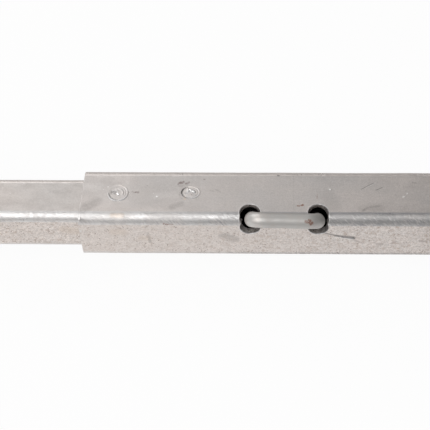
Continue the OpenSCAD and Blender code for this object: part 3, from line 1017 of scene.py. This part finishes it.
def ring_matrix(sizes):
    """The ring's own frame: X along the bar and Z out along its legs."""
    outer = Vector((0, 0, ring_lines(sizes)[1]))
    return (
        Matrix.Translation((RING_X, 0, AXIS_Z))
        @ Matrix.Rotation(math.radians(45), 4, "X")
        @ Matrix.Translation(outer)
        @ Matrix.Rotation(-sizes.ring_tilt, 4, "X")
        @ Matrix.Translation(-outer)
        @ Matrix.Rotation(-sizes.ring_skew, 4, "Z")
    )


def ring_lines(sizes):
    """The ring's centre lines: half its width, its outer bar and its inner bar."""
    corner = (BODY_W / 2 - sizes.body_corner) * math.sqrt(2) + sizes.body_corner
    half = sizes.hole_pitch / 2 - sizes.hole_diameter / 2 + sizes.ring_play + sizes.rod_diameter / 2
    outer = corner + sizes.ring_seat + sizes.rod_diameter / 2
    return half, outer, outer - (sizes.ring_depth - sizes.rod_diameter)


def plug_holes(sizes, skin):
    """The holes that the plug welds fill, in the top face and in the bottom face."""
    centre = (PLUG_LOW.x + PLUG_HIGH.x) / 2
    pitch = PLUG_HIGH.x - PLUG_LOW.x - sizes.plug_diameter
    return [(centre + side * pitch / 2, s) for side in (-1, 1) for s in (0.0, 2 * skin.quarter)]


def ring_holes(sizes, skin):
    """The two holes for the ring, each drilled in from both faces and opened through the corner."""
    y = -(BODY_W / 2 - sizes.hole_top)
    z = BODY_W / 2 - sizes.hole_front
    radius = sizes.hole_diameter / 2
    inside = (BODY_W / 2 - sizes.wall) / math.sqrt(2)
    s_low = -y - radius
    s_high = skin.quarter - (z - radius)
    # The burr that narrows each mouth: (side, from, to, cut at the face, cut at the foot)
    middle = skin.half + 0.5 * skin.arc
    end = s_high + 5 * MM
    tapers = {
        -1: [(-1, middle, end, 0.0, 1.2 * MM)],
        1: [(1, -end, middle, 0.0, 0.55 * MM), (1, middle, end, 0.0, 0.9 * MM)],
    }
    holes = []
    for side in (-1, 1):
        u = RING_X - sizes.ring_shift + side * sizes.hole_pitch / 2
        drillings = [
            Drilling((u, y, AXIS_Z + z), (0, 0, 1), radius),
            Drilling((u, y, AXIS_Z + z), (0, -1, 0), radius),
            Drilling((u, -inside, AXIS_Z + inside), (0, -1, 1), radius),
        ]
        reach_s = (s_high - s_low) / 2 + HOLE_MARGIN
        holes.append(TubeHole(
            u, (s_low + s_high) / 2, radius + 2.8 * MM, reach_s, drillings,
            sizes.cut_edge, sizes.zinc_lip, tapers=tapers[side],
        ))
    return holes


def pin_holes(skin, places, sizes):
    """Cross holes for a pin, right through the tube's two sides."""
    reach = PIN_RADIUS + HOLE_MARGIN
    holes = []
    for u in places:
        for s, y in ((skin.quarter, -1), (3 * skin.quarter, 1)):
            drilling = Drilling((u, 0, AXIS_Z), (0, y, 0), PIN_RADIUS)
            holes.append(TubeHole(u, s, reach, reach, [drilling], sizes.cut_edge, sizes.zinc_lip))
    return holes


def near_holes(holes):
    """The fine stretches of mesh along the bar that holes need."""
    return [(h.u - h.reach_u - 1 * MM, h.u + h.reach_u + 1 * MM, HOLE_STEP) for h in holes]


def place_frames(loop, x, towards):
    """Bead frames round the bar at x, whose second leg runs towards one end of it."""
    frames = []
    distance = 0.0
    for a, b, na, nb in loop:
        point = Vector((x, a, AXIS_Z + b))
        if frames:
            distance += (point - frames[-1][0]).length
        frames.append((point, Vector((0, na, nb)), Vector((towards, 0, 0)), distance))
    return frames


# ---------------------------------------------------------------- small relief of the body tube

# Start, end, half width and depth of each scratch that goes into the metal, in millimetres:
# place along the bar from the shoulder, then place round the tube from the middle of its front face
GOUGES = (
    ((118.9, -5.55), (128.5, -2.35), 0.3, 0.16),
    ((128.0, -2.45), (133.7, -1.5), 0.62, 0.3),
)
# Place and size of each drop of zinc: along the bar, round the tube from its top, radius and height
DROPS = (
    (0.7, 15.2, 0.75, 0.3),
    (0.8, 23.9, 0.5, 0.18),
    (37.5, 1.9, 0.4, 0.16),
    (122.1, -2.8, 0.45, 0.16),
    (157.4, 1.6, 0.45, 0.15),
    (84.4, 12.6, 0.5, 0.14),
    (81.4, 20.8, 0.9, 0.12),
    (96.4, -9.5, 0.4, 0.1),
)
# Hairline scratches in the top face: ends along the bar and round the tube, half width and height
SCRATCHES = (
    ((138.3, -3.6), (143.6, -7.1), 0.3, 0.06),
    ((144.4, -2.5), (147.8, -4.3), 0.3, 0.06),
    ((63.4, -1.6), (68.4, -1.2), 0.3, 0.03),
)


def along_line(u, s, start, end):
    """Signed distance beside a line, share of the way along it, and distance past its ends."""
    line = np.array(end) - np.array(start)
    length = np.hypot(*line)
    along = ((u - start[0]) * line[0] + (s - start[1]) * line[1]) / length**2
    beside = ((u - start[0]) * line[1] - (s - start[1]) * line[0]) / length
    past = np.clip(np.maximum(-along, along - 1), 0, None) * length
    return beside, np.clip(along, 0, 1), past


def hump(distance, half_width):
    """A smooth rise: 1 at no distance, fading out over half a width."""
    return np.exp(-((distance / half_width) ** 2))


def body_relief(skin):
    """The heights of gouges, drops and scratches over the body tube's outside."""

    def height(u, s):
        x = (u - SHOULDER_X) / MM
        round_front = (s - skin.quarter) / MM
        round_top = s / MM
        total = np.zeros_like(x)
        for start, end, half_width, depth in GOUGES:
            beside, along, past = along_line(x, round_front, start, end)
            width = half_width * (0.45 + 0.75 * along)
            depth = depth * hump(past, 0.4) * (0.35 + 0.65 * along)
            # The metal that a gouge pushes up stands in a low ridge on each side of it
            for aside, part in ((0.0, -1.0), (-1.9, 0.25), (1.9, 0.1)):
                total += part * depth * hump(beside - aside * width, width)
        for place, around, radius, rise in DROPS:
            away = np.hypot(x - place, (round_top - around) * 0.9)
            total += rise * np.exp(-((away / radius) ** 2) ** 1.5)
        for start, end, half_width, rise in SCRATCHES:
            beside, along, past = along_line(x, round_top, start, end)
            total += rise * hump(past, 0.5) * hump(beside, half_width) * np.sin(3 * x)
        return total * MM

    return height


def shoulder_skew(skin):
    """How far the shoulder's saw cut strays: most at the back corner of the top."""

    def stray(s):
        turn = 2 * math.pi * s / skin.perimeter + math.pi / 4
        return (0.05 + 0.7 * np.cos(turn) + 0.35 * np.cos(2 * turn)) * MM

    return stray


# Relief of the two plug welds' faces, in millimetres. Middle: its place from the weld's own middle.
# Arcs: radius, from and to angle, half width and height. Lines: ends, half width and height. Dish:
# depth, and how much deeper it is towards the nose. Squash: the arcs' width across the bar
PLUG_FACES = (
    {
        "middle": (0.0, 0.2),
        "squash": 1.0,
        "arcs": (
            (4.75, -64, 66, 0.24, 0.13),
            (4.8, 192, 246, 0.26, 0.2),
            (4.7, 80, 150, 0.3, 0.035),
            (4.75, 246, 290, 0.3, 0.03),
            (2.5, -25, 85, 0.4, 0.09),
            (3.6, -35, 70, 0.3, 0.05),
        ),
        "lines": (
            ((-0.5, -0.3), (0.3, -1.0), 0.45, 0.1),
            ((-1.0, 2.0), (-0.2, 1.0), 0.35, 0.1),
            ((-2.3, 0.7), (-0.9, 0.15), 0.75, -0.14),
            ((-3.2, -0.4), (-2.6, 0.6), 0.5, -0.07),
        ),
        "dish": (0.03, 0.0),
    },
    {
        "middle": (0.0, 0.7),
        "squash": 0.82,
        "arcs": ((4.5, -80, 60, 0.3, 0.09), (3.4, -60, 60, 0.4, 0.05)),
        "lines": (
            ((-0.4, 1.9), (2.1, 0.15), 0.5, 0.2),
            ((-1.1, 1.0), (-1.5, 2.6), 0.45, 0.22),
            ((-2.0, -0.3), (0.2, 0.5), 0.4, -0.14),
            ((-1.8, -1.6), (2.2, -2.2), 0.9, 0.07),
        ),
        "dish": (0.14, 0.36),
    },
)


def plug_rise(x, y, face):
    """Heights over one plug weld's face, in millimetres."""
    rim = np.hypot(x, y)
    x = x - face["middle"][0]
    y = y - face["middle"][1]
    r = np.hypot(x, y / face["squash"])
    bearing = np.degrees(np.arctan2(y / face["squash"], x))
    rise = np.zeros_like(x)
    for radius, low, high, half_width, height in face["arcs"]:
        past = np.minimum(np.mod(low - bearing, 360), np.mod(bearing - high, 360))
        inside = np.mod(bearing - low, 360) < high - low
        rise += height * np.where(inside, 1.0, hump(past, 14)) * hump(r - radius, half_width)
    for start, end, half_width, height in face["lines"]:
        beside, _, past = along_line(x, y, start, end)
        rise += height * hump(np.hypot(beside, past), half_width)
    depth, lean = face["dish"]
    wall = np.clip((4.65 - r) / 0.75, 0, 1)
    wall = wall * wall * (3 - 2 * wall)
    towards = np.clip(0.25 - 0.75 * np.cos(np.radians(bearing)), 0, 1) * np.clip(r / 4.0, 0, 1)
    rise -= wall * (depth + lean * towards)
    return rise * np.clip((5.25 - rim) / 0.25, 0, 1)


def plug_mesh(u, radius, flip, face, sizes):
    """One plug weld: its face, flush with the tube round it, and its side down to the nose tube."""
    rows = 34
    around = 96
    circle = np.array([p[:2] for p in circle_section(1.0, around)])
    plan = np.concatenate([[(0.0, 0.0)]] + [circle * radius * i / rows for i in range(1, rows + 1)])
    top = BODY_W / 2

    def points(x, y, height):
        height = np.broadcast_to(height, x.shape)
        return np.stack([u + x, flip * y, AXIS_Z + flip * height], axis=-1)

    x, y = plan.T
    rise = plug_rise(x / MM, y / MM, face) * MM
    rise += waves(points(x, y, top), sizes.waviness, WAVE_LENGTH, BODY_SEED)
    narrow = sizes.plug_diameter / 2 - HAIR
    verts = [points(x, y, top + rise)]
    for reach, height in (
        (radius, top - 0.05 * MM),
        (narrow, top - 0.1 * MM),
        (narrow, NOSE_W / 2 + 2 * HAIR),
    ):
        verts.append(points(*(circle * reach).T, height))
    rings = [range(1 + i * around, 1 + (i + 1) * around) for i in range(rows + 3)]
    faces = [(0, ring_a, ring_b) for ring_a, ring_b in zip(rings[0], [*rings[0][1:], rings[0][0]])]
    for inner, outer in zip(rings, rings[1:]):
        faces += band(inner, outer)
    faces.append(tuple(rings[-1]))
    return np.concatenate(verts), faces


def joined(parts):
    """Several (verts, faces) made into one."""
    verts, faces = [], []
    for more_verts, more_faces in parts:
        start = len(verts)
        verts += [tuple(v) for v in more_verts]
        faces += [tuple(start + k for k in face) for face in more_faces]
    return verts, faces


# ---------------------------------------------------------------- operators


class BoltPiece:
    """What every operator here shares."""

    bl_options = {"REGISTER", "UNDO"}

    def execute(self, context):
        self.build(context.scene.bolt_sizes, context.scene.bolt_colours)
        return {"FINISHED"}

    def add(self, name, shape, body, finish, colours, nodes, sharp=40.0):
        """Makes a piece of points, faces and wear values that stands for CAD nodes of a body."""
        verts, faces, wear = shape if len(shape) == 3 else (*shape, {})
        mesh = bpy.data.meshes.new(name)
        mesh.from_pydata([tuple(v) for v in verts], [], faces)
        for key, values in wear.items():
            mesh.attributes.new(key, "FLOAT", "POINT").data.foreach_set("value", values)
        work = bmesh.new()
        work.from_mesh(mesh)
        bmesh.ops.remove_doubles(work, verts=work.verts, dist=0.0004 * MM)
        bmesh.ops.recalc_face_normals(work, faces=work.faces)
        work.to_mesh(mesh)
        work.free()
        shade(mesh, finish, colours, sharp)
        piece = bpy.data.objects.new(name, mesh)
        bpy.context.scene.collection.objects.link(piece)
        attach(piece, body)
        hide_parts(*nodes)


class BOLT_OT_body_tube(BoltPiece, bpy.types.Operator):
    """Builds the body tube with its ring holes, weld holes and pin holes"""

    bl_idname = "bolt.body_tube"
    bl_label = "Body tube"

    def build(self, sizes, colours):
        skin = body_skin(sizes)
        edge = sizes.cut_edge
        holes = ring_holes(sizes, skin) + pin_holes(skin, (RAISED_PIN_X, SHOT_PIN_X), sizes)
        for u, s in plug_holes(sizes, skin):
            drilling = Drilling((u, 0, AXIS_Z), (0, 0, 1 if s == 0 else -1), sizes.plug_cap / 2)
            reach = sizes.plug_cap / 2 + 2.0 * MM
            holes.append(TubeHole(u, s, reach, reach, [drilling], 4 * HAIR, wear=0.0))
        # The mesh is finer at the holes, at the gouge and scratches, and at the shoulder
        fine = near_holes(holes)
        for low, high, step in ((118, 136, 0.45), (137, 149, 0.6), (0, 1.6, 0.3)):
            fine.append((SHOULDER_X + low * MM, SHOULDER_X + high * MM, step * MM))
        u_values = spaced(BODY_LOW.x + edge, BODY_HIGH.x - edge, ALONG_STEP, fine)
        first = -skin.half - skin.arc / 2
        finer_round = (
            (skin.half - 1 * MM, skin.half + skin.arc + 1 * MM, 0.55 * MM),
            (skin.quarter - 7 * MM, skin.quarter + 1 * MM, 0.24 * MM),
        )
        s_values = spaced(first, first + skin.perimeter, FLAT_STEP, finer_round)[:-1]
        mesh = tube_mesh(
            skin, u_values, s_values, edge, holes, sizes.waviness, BODY_SEED,
            relief=body_relief(skin), skew=shoulder_skew(skin),
        )
        self.add("body_tube_skin", mesh, "bolt", "zinc_tube", colours, ["body_tube"])


class BOLT_OT_nose_tube(BoltPiece, bpy.types.Operator):
    """Builds the smaller tube that drops into the ground"""

    bl_idname = "bolt.nose_tube"
    bl_label = "Nose tube"

    def build(self, sizes, colours):
        skin = SquareTube(NOSE_W, sizes.nose_corner, sizes.wall, AXIS_Z)
        edge = sizes.cut_edge
        u_values = spaced(NOSE_LOW.x + edge, NOSE_HIGH.x - edge, ALONG_STEP)
        s_values = skin.stations(FLAT_STEP, CORNER_STEPS)
        height = sizes.waviness * 0.8
        mesh = tube_mesh(skin, u_values, s_values, edge, [], height, seed=23)
        self.add("nose_tube_skin", mesh, "bolt", "zinc_tube", colours, ["nose_tube"])


class BOLT_OT_plug_welds(BoltPiece, bpy.types.Operator):
    """Builds the four plug welds that hold the nose tube in the body tube"""

    bl_idname = "bolt.plug_welds"
    bl_label = "Plug welds"

    def build(self, sizes, colours):
        skin = body_skin(sizes)
        radius = sizes.plug_cap / 2 - HAIR
        for node, flip in (("plug_welds_front", 1), ("plug_welds_back", -1)):
            places = [u for u, s in plug_holes(sizes, skin) if (s == 0) == (flip == 1)]
            discs = [plug_mesh(u, radius, flip, face, sizes) for u, face in zip(places, PLUG_FACES)]
            self.add(node + "_faces", joined(discs), "bolt", "zinc_tube", colours, [node])


class BOLT_OT_lock_ring(BoltPiece, bpy.types.Operator):
    """Builds the captive lock ring and the weld that closes it"""

    bl_idname = "bolt.lock_ring"
    bl_label = "Lock ring"

    BEND_STEPS = 14
    ROD_STEP = 1.3 * MM
    WELD_ROWS = 15
    WELD_LAP = 0.25 * MM

    def build(self, sizes, colours):
        half, outer, inner = ring_lines(sizes)
        bend = sizes.ring_bend
        radius = sizes.rod_diameter / 2
        weld_low = sizes.ring_weld_place - sizes.ring_weld_length / 2
        weld_high = sizes.ring_weld_place + sizes.ring_weld_length / 2
        placed = ring_matrix(sizes)
        turned = placed.to_3x3()

        def station(x, z, nx, nz):
            normal, binormal = Vector((nx, 0, nz)), Vector((0, 1, 0))
            return placed @ Vector((x, 0, z)), turned @ normal, turned @ binormal

        # Round the ring from one side of its weld to the other, in the plane of its own X and Z
        plan = [(weld_high, outer, 0.0, 1.0)]
        corners = ((1, outer, 1), (1, inner, -1), (-1, inner, -1), (-1, outer, 1))
        for n, (sx, z, sz) in enumerate(corners):
            cx, cz = sx * (half - bend), z - sz * bend
            for k in range(self.BEND_STEPS + 1):
                a = math.pi / 2 * (1 - n - k / self.BEND_STEPS)
                c, s = math.cos(a), math.sin(a)
                plan.append((cx + bend * c, cz + bend * s, c, s))
        plan.append((weld_low, outer, 0.0, 1.0))
        filled = [plan[0]]
        for a, b in zip(plan, plan[1:]):
            straight = abs(a[2] - b[2]) + abs(a[3] - b[3]) < 1e-6
            gap = math.hypot(b[0] - a[0], b[1] - a[1])
            count = max(1, math.ceil(gap / self.ROD_STEP)) if straight else 1
            for k in range(1, count + 1):
                filled.append(tuple(p + (q - p) * k / count for p, q in zip(a, b)))
        path = [station(*place) for place in filled]
        wear = waves(np.array([p[0] for p in path]), *RING_WAVES)
        sections = [circle_section(radius - BAR_SLACK + w) for w in wear]
        mesh = sweep(path, sections)
        self.add("lock_ring_rod", mesh, "ring", "zinc_rod", colours, ["lock_ring"], 60)

        # The weld laps over the rod at each side
        low, high = weld_low - self.WELD_LAP, weld_high + self.WELD_LAP
        path, sections = [], []
        for k in range(self.WELD_ROWS + 1):
            t = k / self.WELD_ROWS
            crown = math.sin(math.pi * t)
            swell = 1 + 0.0015 * crown * math.sin(5 * math.pi * t)
            path.append(station(low + (high - low) * t, outer, 0, 1))
            sections.append(circle_section((radius - 0.035 * MM + 0.025 * MM * crown) * swell))
        mesh = sweep(path, sections)
        self.add("ring_weld_bead", mesh, "ring", "zinc_rod", colours, ["ring_weld"], 60)


class BOLT_OT_cane_handle(BoltPiece, bpy.types.Operator):
    """Builds the bent handle bar"""

    bl_idname = "bolt.cane_handle"
    bl_label = "Cane handle"

    # The rounded bevel on the grip's end, in bevels: down from the end, and in from the side
    GRIP_END = (
        (1.25, 0.0), (1.0, 0.05), (0.8, 0.24), (0.28, 0.76), (0.1, 0.93), (0.03, 1.04), (0.0, 1.2),
    )

    def build(self, sizes, colours):
        bend, bevel = sizes.handle_bend, sizes.handle_bevel
        radius = (HANDLE_HIGH.y - HANDLE_LOW.y) / 2
        grip_x = HANDLE_HIGH.x - radius
        turn_x, turn_z = grip_x - bend, AXIS_Z + bend
        top = HANDLE_HIGH.z
        side, up, out = Vector((0, 1, 0)), Vector((0, 0, 1)), Vector((1, 0, 0))
        # Each station is (point, normal, binormal, radius)
        path = [
            (Vector((x, 0, AXIS_Z)), -up, side, radius)
            for x in spaced(HANDLE_LOW.x + 0.05 * MM, turn_x, 2.0 * MM)[:-1]
        ]
        for k in range(25):
            a = math.pi / 2 * k / 24
            normal = out * math.sin(a) - up * math.cos(a)
            path.append((Vector((turn_x, 0, turn_z)) + normal * bend, normal, side, radius))
        for z in spaced(turn_z, top - bevel - 0.5 * MM, 2.2 * MM)[1:]:
            path.append((Vector((grip_x, 0, z)), out, side, radius))
        for down, inset in self.GRIP_END:
            point = Vector((grip_x, 0, top - bevel * down))
            path.append((point, out, side, radius - bevel * inset))
        wear = waves(np.array([p[0] for p in path]), *HANDLE_WAVES)
        sections = [circle_section(p[3] - BAR_SLACK + w) for p, w in zip(path, wear)]
        mesh = sweep([p[:3] for p in path], sections)
        self.add("cane_handle_bar", mesh, "bolt", "zinc_rod", colours, ["cane_handle"], 60)


class BOLT_OT_end_welds(BoltPiece, bpy.types.Operator):
    """Builds the welds round the nose cap, the top cap and the handle's foot"""

    bl_idname = "bolt.end_welds"
    bl_label = "End welds"

    def build(self, sizes, colours):
        step = 0.45 * MM
        sink = 0.05 * MM

        groove = NOSE_LOW.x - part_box("nose_cap_weld")[0].x
        frames = place_frames(rounded_loop(NOSE_W / 2, sizes.nose_corner, step), NOSE_LOW.x, -1)
        mesh = bead(
            frames, (-groove, 0.0), (-sink, -0.2 * MM), (-sink, groove + 0.2 * MM),
            bulge=0.14 * MM, ripple=0.12 * MM, pitch=1.5 * MM, closed=True, seed=3,
        )
        self.add("nose_cap_weld_bead", mesh, "bolt", "weld_zinc", colours, ["nose_cap_weld"], 60)

        leg = CAP_WELD_HIGH.x - CAP_WELD_LOW.x
        loop = rounded_loop(BODY_W / 2 - leg, sizes.body_corner - leg, step)
        frames = place_frames(loop, CAP_WELD_LOW.x, 1)
        mesh = bead(
            frames, (-0.1 * MM, -sink), (leg - 0.25 * MM, -sink), (-sink, leg * 0.97),
            bulge=0.42 * MM, ripple=0.22 * MM, pitch=1.9 * MM, closed=True, seed=5,
        )
        self.add("top_cap_weld_bead", mesh, "bolt", "weld_zinc", colours, ["top_cap_weld"], 60)

        leg = HANDLE_WELD_HIGH.x - HANDLE_WELD_LOW.x
        loop = round_loop((HANDLE_HIGH.y - HANDLE_LOW.y) / 2, 104)
        frames = place_frames(loop, HANDLE_WELD_LOW.x, 1)
        mesh = bead(
            frames, (-0.2 * MM, -sink), (leg * 0.97, -sink), (-0.06 * MM, leg * 0.97),
            bulge=0.4 * MM, ripple=0.28 * MM, pitch=2.1 * MM, closed=True, seed=8,
        )
        self.add("handle_weld_bead", mesh, "bolt", "weld_zinc", colours, ["handle_weld"], 60)


class BOLT_OT_end_caps(BoltPiece, bpy.types.Operator):
    """Finishes the nose cap and the handle end's cap"""

    bl_idname = "bolt.end_caps"
    bl_label = "End caps"

    def build(self, sizes, colours):
        dress_node("nose_cap", "zinc_tube", colours, bevel=0.5 * MM, sharp=25)
        dress_node("top_cap", "zinc_guide", colours, bevel=0.3 * MM, sharp=30)


class BOLT_OT_guides(BoltPiece, bpy.types.Operator):
    """Builds both guides: their plates, collars and welds"""

    bl_idname = "bolt.guides"
    bl_label = "Guides"

    def build(self, sizes, colours):
        self.guide(sizes, colours, "lower", LOWER_LOW, LOWER_HIGH, pins=(), seed=61)
        self.guide(sizes, colours, "upper", UPPER_LOW, UPPER_HIGH, pins=(RAISED_PIN_X,), seed=67)

    def guide(self, sizes, colours, place, low, high, pins, seed):
        """One guide: its collar fills the box from low to high and has cross holes at the pins."""
        dress_node(place + "_guide_plate", "zinc_guide", colours, bevel=0.5 * MM, sharp=30)
        half = (high.y - low.y) / 2
        edge = sizes.cut_edge
        skin = SquareTube(2 * half, sizes.collar_corner, sizes.wall, AXIS_Z)
        holes = pin_holes(skin, pins, sizes)
        u_values = spaced(low.x + edge, high.x - edge, ALONG_STEP / 2, near_holes(holes))
        s_values = skin.stations(FLAT_STEP, CORNER_STEPS)
        mesh = tube_mesh(skin, u_values, s_values, edge, holes, sizes.waviness, seed)
        nodes = [place + "_guide_collar"]
        self.add(place + "_collar_skin", mesh, "guides", "zinc_guide", colours, nodes)

        weld_low, weld_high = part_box(place + "_guide_welds")
        leg = weld_high.y - high.y
        beads = []
        for side in (-1, 1):
            out, up = Vector((0, side, 0)), Vector((0, 0, 1))
            frames = [
                (Vector((x, 0, weld_low.z)), out, up, x - weld_low.x)
                for x in spaced(weld_low.x, weld_high.x, 0.4 * MM)
            ]
            beads.append(bead(
                frames, (half - 3.0 * MM, 0.15 * MM), (half + leg - 0.2 * MM, -0.05 * MM),
                (half - 2 * HAIR, leg), bulge=0.35 * MM, ripple=0.3 * MM, pitch=2.2 * MM,
                closed=False, taper=2.2 * MM, seed=seed + side,
            ))
        nodes = [place + "_guide_welds"]
        self.add(place + "_guide_beads", joined(beads), "guides", "weld_zinc", colours, nodes, 60)


class BOLT_OT_stage(BoltPiece, bpy.types.Operator):
    """Builds the pale floor, the soft lamps and the camera"""

    bl_idname = "bolt.stage"
    bl_label = "Stage"

    def build(self, sizes, colours):
        scene = bpy.context.scene
        self.floor(colours)
        self.lamp("Broad lamp", (-0.55, 0.8, 0.95), width=1.0, power=4.3)
        self.lamp("Corner lamp", (-0.5, -0.71, 1.06), width=1.16, power=9.0)
        self.world(scene)
        self.camera(scene, scene.bolt_camera)
        scene.view_settings.view_transform = "Standard"

    def floor(self, colours):
        """A wide floor that looks white to the camera and still keeps the bolt's shadow."""
        mesh = bpy.data.meshes.new("Floor")
        corners = [(x, y, 0) for x, y in ((-6, -6), (6, -6), (6, 6), (-6, 6))]
        mesh.from_pydata(corners, [], [(0, 1, 2, 3)])
        floor = bpy.data.objects.new("Floor", mesh)
        bpy.context.scene.collection.objects.link(floor)
        material = bpy.data.materials.new("Pale floor")
        material.use_nodes = True
        g = Graph(material.node_tree)
        g.nodes.clear()
        rays = g.node("ShaderNodeLightPath").outputs
        seen = g.math("MAXIMUM", rays["Is Camera Ray"], rays["Is Glossy Ray"])
        seen = g.math("MAXIMUM", seen, rays["Is Transmission Ray"])
        # In reflections the floor dims away from the bar, as ground does round a small white table
        away = g.math("ABSOLUTE", g.axis(g.node("ShaderNodeTexCoord").outputs["Object"], 1))
        bright = g.math("MAXIMUM", rays["Is Camera Ray"], g.step(away, 0.05, 0.25, 1.0, 0.35))
        matt = g.node("ShaderNodeBsdfDiffuse", {"Color": (*colours.floor, 1)})
        glow = g.node("ShaderNodeEmission", {"Color": (1, 1, 1, 1), "Strength": bright})
        mix = g.node("ShaderNodeMixShader", (g.times(seen, 0.94), matt.outputs[0], glow.outputs[0]))
        g.node("ShaderNodeOutputMaterial", {"Surface": mix.outputs[0]})
        mesh.materials.append(material)

    def lamp(self, name, place, width, power):
        """A square lamp that shines on the bar's middle from a place round it."""
        light = bpy.data.lights.new(name, "AREA")
        light.shape = "SQUARE"
        light.size = width
        light.energy = power
        lamp = bpy.data.objects.new(name, light)
        bpy.context.scene.collection.objects.link(lamp)
        lamp.location = Vector((SHOULDER_X + 0.066, 0, AXIS_Z)) + Vector(place)
        lamp.rotation_mode = "QUATERNION"
        lamp.rotation_quaternion = (-Vector(place)).to_track_quat("-Z", "Y")

    def world(self, scene):
        """A soft room that is brighter towards the nose end."""
        scene.world = bpy.data.worlds.new("Soft room")
        scene.world.use_nodes = True
        g = Graph(scene.world.node_tree)
        along = g.axis(g.node("ShaderNodeTexCoord").outputs["Generated"], 0)
        back = g.nodes["Background"].inputs
        g.put(back["Strength"], g.step(along, -0.45, 0.3, 0.66, 0.24))
        g.put(back["Color"], (1.0, 0.99, 0.985, 1))

    def camera(self, scene, view):
        data = bpy.data.cameras.new("Camera")
        data.sensor_width = 36.0
        data.lens = view.lens
        data.clip_start = 0.01
        data.clip_end = 50
        camera = bpy.data.objects.new("Camera", data)
        scene.collection.objects.link(camera)
        e, y, r = view.elevation, view.yaw, view.roll
        level = Vector((1, 0, 0))
        back = Vector((0, -math.cos(e), math.sin(e)))
        upright = back.cross(level)
        back = math.sin(y) * level + math.cos(y) * back
        turned = upright.cross(back)
        right = math.cos(r) * turned + math.sin(r) * upright
        up = math.cos(r) * upright - math.sin(r) * turned
        place = Vector((SHOULDER_X + view.along, 0, AXIS_Z))
        place = place + back * view.distance + up * view.raise_by
        rows = [(*row, x) for row, x in zip(zip(right, up, back), place)]
        camera.matrix_world = Matrix((*rows, (0, 0, 0, 1)))
        scene.camera = camera


# ---------------------------------------------------------------- panel and registration

OPERATORS = (
    BOLT_OT_body_tube,
    BOLT_OT_nose_tube,
    BOLT_OT_plug_welds,
    BOLT_OT_lock_ring,
    BOLT_OT_cane_handle,
    BOLT_OT_end_welds,
    BOLT_OT_end_caps,
    BOLT_OT_guides,
    BOLT_OT_stage,
)


class BOLT_PT_panel(bpy.types.Panel):
    """Lists the cane bolt's operators and settings"""

    bl_idname = "BOLT_PT_panel"
    bl_label = "Cane Bolt"
    bl_space_type = "VIEW_3D"
    bl_region_type = "UI"
    bl_category = "Cane Bolt"

    def draw(self, context):
        layout = self.layout
        scene = context.scene
        for operator in OPERATORS:
            layout.operator(operator.bl_idname)
        for group in (scene.bolt_sizes, scene.bolt_colours, scene.bolt_camera):
            box = layout.box()
            for name in group.bl_rna.properties.keys():
                if name not in ("rna_type", "name"):
                    box.prop(group, name)


CLASSES = (BoltSizes, FinishColours, CameraView, *OPERATORS, BOLT_PT_panel)


def register():
    for cls in CLASSES:
        bpy.utils.register_class(cls)
    bpy.types.Scene.bolt_sizes = bpy.props.PointerProperty(type=BoltSizes)
    bpy.types.Scene.bolt_colours = bpy.props.PointerProperty(type=FinishColours)
    bpy.types.Scene.bolt_camera = bpy.props.PointerProperty(type=CameraView)


def unregister():
    for name in ("bolt_sizes", "bolt_colours", "bolt_camera"):
        delattr(bpy.types.Scene, name)
    for cls in reversed(CLASSES):
        bpy.utils.unregister_class(cls)


def main():
    register()
    for operator in OPERATORS:
        group, name = operator.bl_idname.split(".")
        getattr(getattr(bpy.ops, group), name)()


if __name__ == "__main__":
    main()
